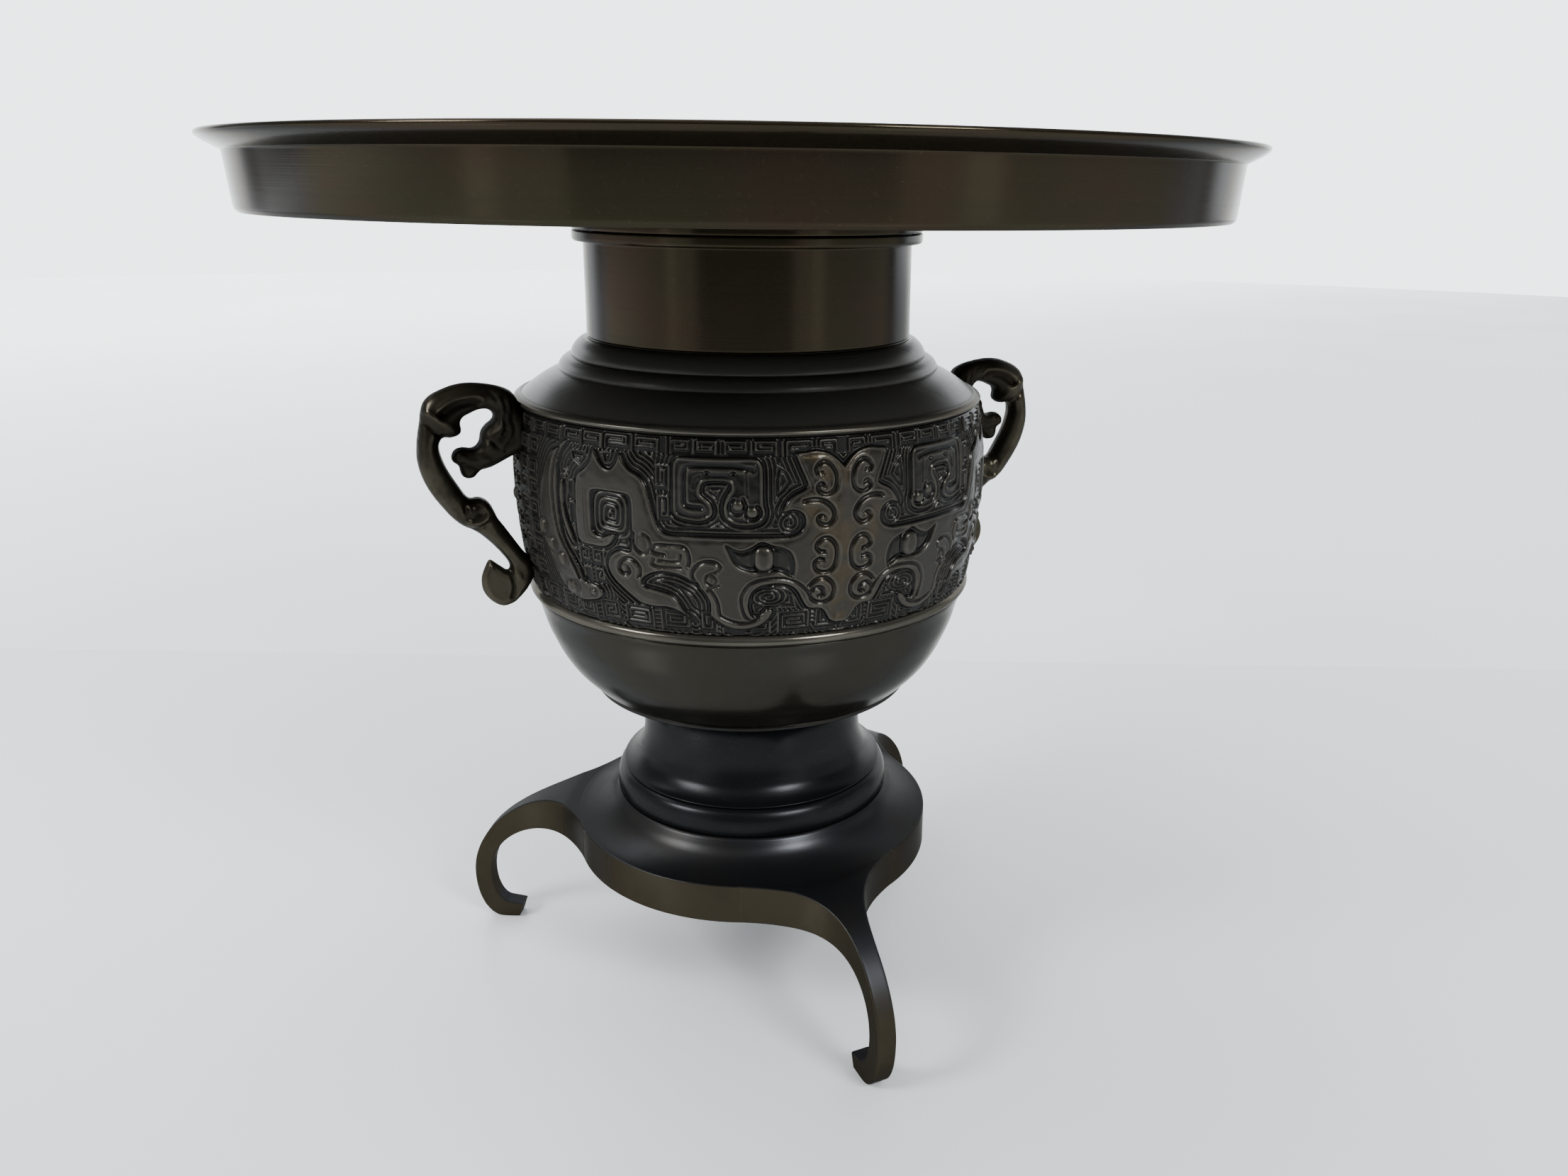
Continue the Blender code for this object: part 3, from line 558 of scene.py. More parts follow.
# Long figure beside the mask
DRAGON = [
    (63.5, 55.3), (65.4, 54.7), (67.2, 52.5), (69.4, 51.1), (71.4, 46.8), (73.3, 40.8), (74.4, 34.3),
    (74.3, 28.8), (74.3, 24.8), (72.3, 20.5), (70.4, 15.3), (68.2, 10.1), (65.2, 6.9), (61.5, 6.1),
    (58.2, 6.9), (56, 8.1), (55, 9.9), (56, 11.8), (58, 12.5), (60, 12.7), (61.2, 16.1), (62.8, 19.7),
    (64.6, 22.7), (65.9, 26.3), (66.6, 32.3), (66.9, 40.3), (66.6, 48.3), (65.4, 52.3)]

# Thin horn before that figure
HORN = [
    (64.9, 43.9), (65.9, 41.3), (65.9, 36.8), (65.1, 31.5), (63.7, 26.7), (61.9, 23.7), (62.4, 27.1),
    (63.9, 31.9), (64.7, 36.8), (64.5, 41.3)]

# Corner-to-corner outline of the eye
EYE = [
    (25.3, 29.4), (24.6, 26.7), (23.6, 23.9), (22.1, 22), (19.8, 21), (17, 20.9), (14.2, 21), (12.4, 19.9),
    (11.3, 19.1), (10.7, 21.7), (10.9, 24.4), (11.8, 27), (13.6, 28.4), (15.6, 29), (17.3, 30),
    (18.4, 29.8), (19.9, 28.5), (21.8, 27.5), (23.6, 28.1)]

# Grooves cut into the figures as half width, depth and path
GROOVES = [
    (0.55, 0.62, [
        (5, 49.9), (5.9, 49.7), (6.3, 51.1), (5.6, 52.5), (4.4, 53.1), (3, 52), (2, 49.7), (1.8, 47.5),
        (2.1, 45.5), (3, 44.1), (4.3, 43.6), (5.6, 44.4), (6, 45.9), (5.2, 46.8), (4.6, 46.2)]),
    (0.60, 0.62, [
        (8.9, 41.9), (7.2, 42.3), (5.1, 41.9), (3.3, 40.3), (2.4, 38), (2.7, 35.9), (3.9, 34.5),
        (5.3, 34.9), (6, 36.4), (5.3, 37.3), (4.6, 36.7)]),
    (0.58, 0.62, [
        (4.5, 26.4), (5.5, 26.7), (6.2, 28.1), (5.6, 29.8), (4.3, 30.6), (2.9, 29.9), (1.8, 27.7),
        (1.6, 25), (2, 22.1), (3.2, 20.3), (4.8, 20), (6.2, 21.1), (6.5, 23.1), (5.6, 24.2), (4.6, 23.8)]),
    (0.55, 0.58, [
        (7.6, 16), (6.2, 17.8), (4.5, 18.4), (2.8, 17.1), (1.9, 14.8), (2.3, 12.2), (3.7, 10.7),
        (5.5, 10.6), (7, 11.9), (7.2, 14), (6.1, 15.3), (4.6, 14.9), (4.2, 13.3), (5.2, 12.7)]),
    (0.22, 0.20, [
        (9.6, 54.3), (8.9, 52.1), (8.1, 49.5), (7.3, 47.3), (7.2, 45.9)]),
    (0.55, 0.55, [
        (44.6, 17.9), (44.3, 20.7), (45.6, 22.7), (47.6, 22.9), (49.1, 21.3), (49.2, 19.1), (48, 18),
        (46.9, 18.9), (47.2, 20.1)]),
    (0.42, 0.45, [
        (45.4, 31.3), (45.4, 28.1), (44.6, 25.9), (43.2, 25), (41.9, 26.1), (41.4, 28.3), (41.9, 30.4),
        (43, 31.3)]),
    (0.22, 0.12, [
        (57.9, 41.3), (57.9, 36.3), (57.9, 30.3), (57.4, 27.7), (55.4, 26.7), (53, 27.1)]),
    (0.50, 0.50, [
        (33.3, 22.3), (33, 24.3), (33.4, 27.1), (34.4, 28.3), (37, 28.3), (40.2, 28.1), (41.2, 26.7),
        (40.4, 25.7), (38.4, 25.3)]),
    (0.45, 0.42, [
        (40.9, 23.9), (41.3, 22.5), (40, 21.6), (37, 21.5), (34.8, 21.7)]),
    (0.42, 0.42, [
        (39.6, 23.5), (37.4, 23.3), (35.2, 23.7), (34.9, 25.7)]),
    (0.40, 0.40, [
        (28.2, 20), (27.4, 18.3), (28, 16.7), (29.2, 17.1), (29.6, 18.7), (28.8, 20.1), (27, 21.1),
        (26.4, 22.7)]),
    (0.50, 0.50, [
        (26.4, 22.5), (27.3, 23.7), (29.2, 24.1), (31, 23.1), (32.3, 21.1), (32.5, 18.9), (31.3, 16.4)]),
    (0.40, 0.40, [
        (26.8, 16.7), (28.3, 15.8), (29.4, 14.9)]),
    (0.48, 0.52, [
        (29, 15.7), (27.9, 13.4), (27.2, 10.7), (27, 8), (26.6, 6.8), (24.6, 5.4), (22.4, 4.7), (20, 5.1),
        (18.4, 6.4)]),
    (0.42, 0.50, [
        (20.2, 5.3), (21.4, 6.9), (22, 9.5), (22.2, 12.3), (21.6, 14.9), (20.1, 17.4), (17.8, 18.6),
        (15, 19), (12.2, 18.5), (10, 17.1), (8.3, 15.1), (7.5, 13.3)]),
    (0.62, 0.42, [
        (19.6, 51.1), (23, 51.9), (28, 52), (32.6, 51.8), (33.7, 50.7), (33.9, 47.9), (33.9, 43.8),
        (33.7, 41), (32.4, 40.1), (30.2, 40)]),
    (0.30, 0.18, [
        (20.9, 50.7), (20.8, 47.7), (20.7, 43.5)]),
    (0.45, 0.45, [
        (21.6, 42.9), (21, 40.7), (21.6, 38.8), (23, 38.2), (24.2, 39.3), (24.3, 41.1), (23.4, 42.4)]),
    (0.40, 0.38, [
        (20.9, 40.9), (21.2, 38.7), (20.6, 37.1), (19.2, 36.7), (18, 37.7), (17.9, 39.5), (18.7, 40.7)]),
    (0.30, 0.22, [
        (31.9, 45.9), (31.4, 48.5), (30.4, 49.3)]),
    (0.50, 0.50, [
        (66.2, 52.9), (67.6, 48.3), (68.3, 42.3), (68.3, 36.3), (67.7, 30.3), (66.6, 25.3), (64.6, 20.9),
        (62.7, 16.9), (61.4, 13.3)])]

# Bosses as centre, two radii and height over the face
BOSSES = [
    (17.3, 24.9, 2.9, 3.7, 0.85),
    (22.6, 40.9, 1.35, 1.35, 0.1),
    (19.7, 38.9, 1.5, 1.5, 0.1),
    (5.4, 49.2, 0.75, 0.75, -0.05),
    (5, 45.4, 0.7, 0.7, -0.05),
    (4.9, 36.3, 0.8, 0.8, -0.05),
    (4.6, 25.3, 0.8, 0.8, -0.1),
    (5, 23, 0.75, 0.75, -0.05),
    (5.3, 13.6, 0.8, 0.8, -0.05),
    (43.4, 28.2, 1.3, 2.0, 0.12),
    (48.1, 19.7, 1.2, 1.2, 0.1),
    (29, 18.3, 0.9, 0.9, 0.05),
    (73, 26.9, 1.9, 2.4, 0.9),
    (70, 22.1, 1.9, 2.2, 0.9),
    (66.6, 18.3, 2.0, 2.2, 0.85),
    (64.4, 9.7, 2.7, 2.4, 0.75),
    (57.6, 9.7, 1.1, 1.1, 0.35)]

# Small pits beside the eye's panel
PITS = [(29, 50.2), (23.5, 50.1)]

# Centres of the spirals beside the crest, on the cheek and inside the tail
DISC = (12, 35.7)
CHEEK = (16.3, 12.9)
TAIL = (50.9, 35.9)

# Key-fret of the ground: pitch of its lines, foot and head of its rows in mm, and first and
# last degree of the cells along the top and the foot
FRET_PITCH = 1.32
TOP_ROW = (54.8, 59.2)
FOOT_ROW = (0.9, 8.3)
TOP_CELLS = [
    (-4.8, -1.2), (1.2, 5.4), (6.6, 12.6), (14.2, 19.2), (20.6, 25.6), (26.9, 31.4), (32.9, 37.2),
    (39.6, 45.2), (46.8, 52.8), (53.6, 58.8), (59.6, 65), (66.2, 71.6), (72.8, 78.2), (79.4, 84.8),
    (86, 91.4)]
FOOT_CELLS = [
    (0.2, 5.8), (7, 14.4), (15.6, 20), (21.4, 26.6), (27.4, 31.2), (33.6, 40.6), (42, 49.4),
    (50.8, 56.4), (57.6, 62.6), (63.8, 69.6), (70.8, 76.4), (77.6, 83.4), (84.6, 91)]

# Other square cells as first and last degree, foot and head, and triangular ones as corners
SIDE_CELLS = [
    (36.9, 40.3, 44.1, 52.1), (37, 40, 35.3, 43.1, True), (60.9, 63.4, 38.1, 44.1),
    (60.9, 63.2, 30.7, 37.5, True), (53.4, 57.0, 18.6, 24.2), (57.6, 61.0, 18.6, 24.2, True),
    (53.8, 56.8, 13.0, 18.0, True), (57.3, 60.2, 13.0, 18.0)]
NESTED_CELLS = [
    [(10.9, 47.5), (12.0, 50.6), (14.6, 53.0), (15.2, 47.5), (15.2, 41.6), (12.6, 44.4)],
    [(10, 9.1), (11, 14.1), (13.4, 12.3), (14.6, 9.1)],
    [(57.6, 53.1), (62.8, 53.3), (61.8, 49.9), (59.4, 48.1), (57.2, 50.9)],
    [(50.4, 54.1), (53.6, 54.1), (52.6, 50.1), (51.4, 50.1)]]


def step(low, high, values):
    """A smooth step from 0 at low to 1 at high."""
    share = np.clip((values - low) / (high - low), 0, 1)
    return share * share * (3 - 2 * share)


class HeightMap:
    """Grid in mm on which outlines and lines are measured, with x across and y up."""

    def __init__(self, columns, rows):
        self.columns, self.rows = columns, rows
        self.x, self.y = np.meshgrid(columns, rows)

    def window(self, points, margin):
        """Rows and columns that hold some points."""
        low, high = points.min(axis=0) - margin, points.max(axis=0) + margin
        first, last = np.searchsorted(self.columns, (low[0], high[0]))
        bottom, top = np.searchsorted(self.rows, (low[1], high[1]))
        return slice(bottom, top), slice(first, last)

    def distance(self, points, window, closed=False):
        """Distance to a line, negative inside it where it is closed."""
        x, y = self.x[window], self.y[window]
        nearest = np.full(x.shape, 1e9)
        inside = np.zeros(x.shape, bool)
        ends = np.roll(points, -1, axis=0) if closed else points[1:]
        for (ax, ay), (bx, by) in zip(points, ends):
            dx, dy = bx - ax, by - ay
            square = dx * dx + dy * dy
            if square < 1e-12:
                continue
            along = np.clip(((x - ax) * dx + (y - ay) * dy) / square, 0, 1)
            gap = (x - ax - along * dx) ** 2 + (y - ay - along * dy) ** 2
            np.minimum(nearest, gap, out=nearest)
            if closed and ay != by:
                inside ^= ((ay > y) != (by > y)) & (x < dx * (y - ay) / dy + ax)
        nearest = np.sqrt(nearest)
        nearest[inside] *= -1
        return nearest

    def figure(self, outline, mirrored=False):
        """Signed distance to a closed outline of the relief, over the whole grid."""
        if mirrored:
            half = smooth_run(arc(outline), 3)
            other = half[::-1] * (-1, 1)
            points = np.vstack([half, other[1:-1]])
        else:
            points = smooth_run(arc(outline), 3, closed=True)
        window = self.window(points, 8)
        result = np.full(self.x.shape, 1e9)
        result[window] = self.distance(points, window, closed=True)
        return result


def arc(points):
    """Degrees and mm turned into mm and mm."""
    return np.array(points, float) * (ARC_DEGREE, 1)


def fret_ring(distance):
    """Rounded lines at an even pitch."""
    return (0.5 - 0.5 * np.cos(2 * np.pi * distance / FRET_PITCH)) ** 1.5


def key_path(low_x, high_x, low_y, high_y, flip):
    """Square spiral that fills a box from its edge inwards."""
    path = []
    while high_x - low_x > 0.5 and high_y - low_y > 0.5:
        path += [(low_x, low_y), (low_x, high_y), (high_x, high_y), (high_x, low_y + FRET_PITCH)]
        low_x, high_x = low_x + FRET_PITCH, high_x - FRET_PITCH
        low_y, high_y = low_y + FRET_PITCH, high_y - FRET_PITCH
    path = np.array(path)
    if flip:
        path[:, 0] = path[0, 0] + path[2, 0] - path[:, 0]
    return path


def key_cell(quarter, lines, start, end, low, high, flip=False):
    """Fill a box of the ground with a square spiral."""
    start, end = start * ARC_DEGREE, end * ARC_DEGREE
    window = quarter.window(np.array([(start, low), (end, high)]), 0)
    if lines[window].size == 0:
        return
    path = key_path(start + 0.45, end - 0.45, low + 0.4, high - 0.4, flip)
    lines[window] = 1 - step(0.12, 0.50, quarter.distance(path, window))


def nested_cell(quarter, lines, points):
    """Fill a cell of the ground with outlines inside each other."""
    points = arc(points)
    window = quarter.window(points, 0.5)
    depth = -quarter.distance(points, window, closed=True)
    lines[window] = np.where(depth > 0, fret_ring(depth - 0.35 + FRET_PITCH / 2), lines[window])


def spiral(quarter, centre, width, pitch, rise=1.0, power=2):
    """Spiral line round a centre, square-cornered at a high power, and the distance from there."""
    x = (quarter.x - centre[0] * ARC_DEGREE) / width
    y = (quarter.y - centre[1]) * rise
    away = (np.abs(x) ** power + np.abs(y) ** power) ** (1 / power)
    turns = away / pitch + np.arctan2(y, x) / (2 * np.pi)
    return 0.5 - 0.5 * np.cos(2 * np.pi * turns), away


def ground_lines(quarter, clear):
    """Key-fret lines of the ground, from 0 to 1, from the distance to the figures."""
    x, y = quarter.x, quarter.y
    degrees = x / ARC_DEGREE
    lines = np.where(clear > 0.75, fret_ring(clear - 0.72), 0)
    lines[y > 54.6] = 0
    for index, (start, end) in enumerate(TOP_CELLS):
        key_cell(quarter, lines, start, end, *TOP_ROW, index % 2 == 0)
        rib = np.abs(x - (end + 0.6) * ARC_DEGREE)
        strip = (rib < 0.7) & (y > TOP_ROW[0]) & (y < TOP_ROW[1])
        lines[strip] = (1 - step(0.15, 0.42, rib))[strip]
    for index, (start, end) in enumerate(FOOT_CELLS):
        key_cell(quarter, lines, start, end, *FOOT_ROW, index % 2 == 1)
    for cell in SIDE_CELLS:
        key_cell(quarter, lines, *cell)
    for row, foot in enumerate(np.arange(8.9, 53, 6.5)):
        for column, start in enumerate((75.4, 80.6, 85.8)):
            key_cell(quarter, lines, start, start + 4.6, foot, foot + 5.9, (row + column) % 2 == 0)
    for cell in NESTED_CELLS:
        nested_cell(quarter, lines, cell)
    disc, away = spiral(quarter, DISC, 1.0, 1.25)
    inside = away < 3.7
    lines[inside] = disc[inside]
    cheek, away = spiral(quarter, CHEEK, 1.75, 1.0)
    inside = (away < 3.4) & (clear > 0)
    lines[inside] = cheek[inside]
    tail = spiral(quarter, TAIL, 1.0, 1.7, rise=0.92, power=4)[0]
    inside = (clear > 0) & (degrees > 45.6) & (degrees < 56.4) & (y > 28.5) & (y < 42.6)
    lines[inside] = tail[inside]
    return lines


def relief_heights(columns, rows, lift, fret, cut):
    """Height of the band's surface over its face line, in mm."""
    quarter = HeightMap(columns, rows)
    mask = quarter.figure(MASK, mirrored=True)
    panel = quarter.figure(PANEL)
    clear = np.minimum.reduce([mask, panel, quarter.figure(DRAGON), quarter.figure(HORN)])
    height = fret * ground_lines(quarter, clear) * step(0.45, 0.95, clear) - lift
    face = lift * (0.80 * step(-0.15, 0.42, -clear) + 0.20 * step(0.5, 2.6, -clear)) - lift
    face += 0.16 * np.exp(-((clear + 0.50) / 0.28) ** 2)
    face += 0.05 * np.sin(0.83 * quarter.x + 1.1 * np.sin(0.6 * quarter.y)) * np.sin(0.95 * quarter.y)
    height = np.where(clear < 0.2, np.maximum(height, face), height)
    height -= np.where(panel < 0, 0.55 * step(0.65, 1.25, -panel), 0)
    height += np.where(mask < -0.4, 0.30 * np.exp(-(quarter.x / 2.2) ** 4), 0)
    eye = smooth_run(arc(EYE), 3, closed=True)
    window = quarter.window(eye, 1.5)
    depth = -quarter.distance(eye, window, closed=True)
    height[window] += 0.16 * np.exp(-((depth + 0.45) / 0.3) ** 2)
    height[window] -= 0.95 * step(-0.25, 0.35, depth) * (1 - 0.45 * step(0.6, 2.0, depth))
    carved, lips = np.zeros_like(height), np.zeros_like(height)
    for half, deep, path in GROOVES:
        path = smooth_run(arc(path), 5)
        window = quarter.window(path, half * 4)
        away = quarter.distance(path, window) / half
        carved[window] = np.maximum(carved[window], cut * deep * (1 - step(0.30, 1.40, away)))
        lips[window] = np.maximum(lips[window], np.exp(-((away - 2.1) / 0.65) ** 2))
    height -= np.minimum(carved, 0.95 * lift)
    height += np.where(clear < -0.3, 0.17 * lips * np.clip(1 - carved / 0.4, 0, 1), 0)
    for x, y in PITS:
        window = quarter.window(arc([(x, y)]), 2)
        away = np.hypot((quarter.x[window] - x * ARC_DEGREE) / 0.95, (quarter.y[window] - y) / 0.55)
        height[window] -= 0.75 * step(-1.3, -0.4, -away)
    for x, y, wide, high, top in BOSSES:
        window = quarter.window(arc([(x, y)]), max(wide, high) * 1.6)
        across = np.abs(quarter.x[window] - x * ARC_DEGREE) / wide
        away = (across ** 2.6 + (np.abs(quarter.y[window] - y) / high) ** 2.6) ** (1 / 2.6)
        dome = np.sqrt(np.clip(1 - away ** 2.4, 0, 1)) * (top + 0.6) - 0.6
        height[window] -= 0.3 * np.exp(-((away - 1.2) / 0.2) ** 2)
        height[window] = np.where(away < 1, np.maximum(height[window], dome), height[window])
    border = step(0, 0.35, np.minimum(quarter.y, BAND_HEIGHT - quarter.y))
    return (height + lift) * border - lift


def relief_quarter(settings, grid):
    """Points in mm of a quarter of the band, as a sheet round its wall, and their values."""
    lift = settings.lift / MM
    near = np.arange(0, NEAR_DEGREES * ARC_DEGREE, grid * 0.95)
    far = np.linspace(NEAR_DEGREES * ARC_DEGREE, 90 * ARC_DEGREE, FAR_COLUMNS)
    columns = np.concatenate([near, far])
    rows = np.linspace(0, BAND_HEIGHT, round(BAND_HEIGHT / grid) + 1)
    heights = relief_heights(columns, rows, lift, settings.fret / MM, settings.cut)
    share = rows / BAND_HEIGHT
    low = BAND_FOOT_DROP * (np.clip(BAND_WIDEST - share, 0, 1) / BAND_WIDEST) ** 2
    high = BAND_HEAD_DROP * (np.clip(share - BAND_WIDEST, 0, 1) / (1 - BAND_WIDEST)) ** 2
    face = BAND_RADIUS - low - high
    front = face[:, None] + heights
    back = slice(None, None, -round(BACK_SPACING / grid))
    wall = np.repeat((face - lift - BAND_WALL)[back, None], len(columns), axis=1)
    radii = np.vstack([front, wall, front[:1]])
    levels = np.concatenate([rows, rows[back], rows[:1]]) + BAND_FOOT
    smooth = heights
    for _ in range(14):
        padded = np.pad(smooth, 1, mode='edge')
        smooth = smooth + padded[:-2, 1:-1] + padded[2:, 1:-1] + padded[1:-1, :-2] + padded[1:-1, 2:]
        smooth = smooth / 5
    worn = np.clip(0.5 + (heights - smooth) / 0.5, 0, 1)
    flat = np.zeros((len(levels) - len(rows), len(columns)))
    values = {"rise": np.vstack([(heights + lift) / lift, flat]), "wear_and_highlight": np.vstack([worn, flat + 0.5])}
    angles = np.radians(columns / ARC_DEGREE)
    levels = np.repeat(levels[:, None], len(columns), axis=1)
    return np.stack([radii * np.sin(angles), radii * np.cos(angles), levels], axis=-1), values


# Handle: outline from its root over the arch, down the bow, round the leaf and up the inner side,
# as (reach, height) in mm
HANDLE_OUTLINE = [
    (75.2, 199.0), (75.2, 205.6), (77.0, 206.8), (78.4, 209.6), (79.9, 211.6), (83.2, 213.2), (87.4, 214.2),
    (92.0, 214.7), (96.6, 214.4), (101.0, 213.0), (104.2, 211.5), (106.3, 209.5), (107.4, 206.8),
    (108.1, 202.9), (109.2, 197.6), (109.6, 191.4), (108.4, 185.6), (106.2, 180.5), (102.7, 175.1),
    (99.7, 171.3), (96.8, 168.9), (94.6, 167.8), (92.0, 165.8), (88.8, 162.5), (86.0, 159.0),
    (83.9, 155.7), (83.7, 153.6), (84.6, 153.3), (86.3, 154.7), (88.4, 156.4), (89.9, 157.5),
    (91.4, 155.2), (92.8, 151.6), (92.8, 148.0), (91.8, 145.4), (89.6, 142.7), (86.4, 141.1),
    (82.9, 141.9), (80.0, 144.2), (77.6, 147.2), (76.3, 149.6), (75.6, 153.0), (76.4, 156.4),
    (78.9, 159.2), (81.7, 163.6), (84.2, 167.6), (86.3, 170.8), (87.1, 172.8), (88.4, 175.8),
    (90.2, 177.7), (92.4, 178.4), (94.2, 178.1), (95.8, 179.3), (97.9, 182.8), (99.8, 186.2),
    (101.4, 189.8), (102.5, 193.8), (102.4, 196.4), (101.2, 197.9), (99.4, 197.8), (97.6, 198.0),
    (96.1, 198.8), (95.5, 200.2), (95.8, 202.2), (94.9, 203.9), (92.6, 205.1), (90.6, 205.9),
    (88.2, 206.3), (86.3, 205.4), (85.8, 203.9), (86.6, 202.6), (88.4, 201.2), (89.9, 199.3),
    (90.4, 197.0), (91.2, 195.3), (92.9, 194.3), (95.0, 194.6), (97.2, 194.5), (98.8, 193.3),
    (99.4, 191.4), (98.8, 189.9), (97.3, 188.9), (97.0, 187.2), (96.4, 185.4), (94.8, 184.4),
    (92.8, 184.7), (91.6, 185.9), (90.4, 187.0), (87.6, 187.6), (84.2, 189.2), (80.6, 191.1),
    (77.4, 192.4), (75.2, 193.0)]

# Half width of the handle and reach of its rounded flank near some places of it
HANDLE_WIDTHS = [
    (78, 199, 7.2, 3.4), (85, 197, 6.2, 3.4), (89.5, 193, 5.0, 3.2), (96, 191.5, 3.9, 3.2),
    (94, 187, 3.4, 2.6), (80, 208, 5.9, 4.0), (90, 211, 4.8, 4.2), (98, 210.5, 4.8, 4.4),
    (104, 204, 4.9, 4.6), (98.5, 200.5, 4.4, 3.2), (106, 196, 4.9, 4.0), (104, 185, 5.0, 4.4),
    (98, 177, 5.2, 4.6), (91, 174.5, 5.2, 3.4), (91, 167, 4.0, 3.8), (84, 159, 3.4, 3.4),
    (79.5, 151, 3.4, 3.0), (84, 145, 2.9, 2.6), (89, 149.5, 2.7, 2.4)]

# Lines raised on the handle's flanks (below 0) and cut into them, as reach, depth and path
HANDLE_LINES = [
    (1.2, -0.8, [
        (105.8, 206.6), (104.5, 205.8), (103.0, 204.7), (101.4, 203.4), (99.5, 201.9), (98.4, 200.8)]),
    (0.9, 0.8, [(105.9, 202.9), (104.8, 201.6), (103.4, 200.2), (102.3, 199.0)]),
    (0.7, -0.7, [
        (102.4, 207.6), (100.5, 209.2), (98.4, 210.2), (96.4, 210.8), (93.8, 211.1), (91.3, 211.2),
        (89.6, 210.8), (88.9, 209.6)]),
    (1.1, 1.5, [
        (101.6, 205.6), (100.2, 206.3), (98.7, 207.4), (96.8, 208.3), (94.6, 208.8), (92.4, 209.1),
        (90.6, 208.8)]),
    (0.5, 0.7, [
        (86.9, 212.0), (85.2, 210.0), (84.5, 207.0), (85.1, 204.7), (85.0, 202.6), (86.1, 200.8),
        (87.4, 199.6)]),
    (0.5, 0.7, [(83.2, 210.6), (82.3, 206.8), (83.1, 204.2), (82.8, 201.6), (83.4, 198.9), (85.1, 197.2)]),
    (0.5, 0.7, [
        (80.6, 208.8), (80.3, 206.7), (80.9, 203.6), (80.2, 200.9), (80.7, 197.7), (82.4, 195.5),
        (83.4, 193.6)]),
    (0.5, -0.4, [(84.0, 209.0), (83.5, 206.0), (84.0, 203.4), (83.9, 201.0), (85.0, 198.8)]),
    (0.45, 0.6, [(90.2, 199.0), (89.0, 197.6), (87.1, 196.7), (85.4, 194.6)]),
    (0.45, 0.9, [(99.0, 189.3), (97.4, 189.4), (95.4, 189.5), (93.4, 189.1), (91.9, 188.5)]),
    (0.45, 0.5, [(96.2, 194.3), (95.2, 192.9), (93.7, 191.7), (91.8, 191.8)]),
    (0.40, 0.4, [(98.8, 191.2), (97.2, 191.9), (95.6, 191.6)]),
    (0.9, -0.35, [
        (103.2, 196.6), (103.4, 192.9), (102.4, 188.5), (100.4, 184.6), (98.0, 180.5), (96.0, 177.0)]),
    (0.8, 0.7, [(95.6, 178.9), (96.4, 177.0), (96.6, 175.1), (96.0, 172.9), (94.9, 171.8)]),
    (1.1, -0.9, [(95.6, 170.9), (94.0, 170.6), (91.8, 171.2), (89.7, 172.7), (88.6, 174.4)]),
    (0.5, 0.7, [(95.6, 169.0), (93.7, 168.9), (91.6, 169.5), (89.4, 171.0), (87.5, 172.7)]),
    (0.9, -0.4, [(91.8, 168.0), (89.1, 165.6), (86.8, 162.4), (84.4, 158.4), (82.5, 154.6), (80.9, 150.6)]),
    (0.6, 1.1, [(84.3, 154.2), (83.5, 152.3), (82.8, 149.6), (82.7, 147.2), (83.7, 144.4)]),
    (0.5, -0.35, [(89.8, 155.9), (91.4, 153.6), (91.7, 150.6), (91.0, 147.4), (88.9, 144.7), (86.4, 143.2)]),
    (0.35, 0.3, [(89.2, 155.4), (87.6, 152.6), (86.0, 149.4), (85.6, 146.2)])]

# Lumps on the handle's flanks as centre, two radii and height over the flank
HANDLE_LUMPS = [
    (88.3, 195.3, 1.5, 1.3, 0.8), (89.2, 190.8, 1.4, 1.2, 0.6), (96.9, 192.2, 1.8, 1.6, 0.5),
    (93.4, 174.8, 2.0, 2.6, -0.8), (90.3, 176.0, 1.8, 1.8, 0.6)]


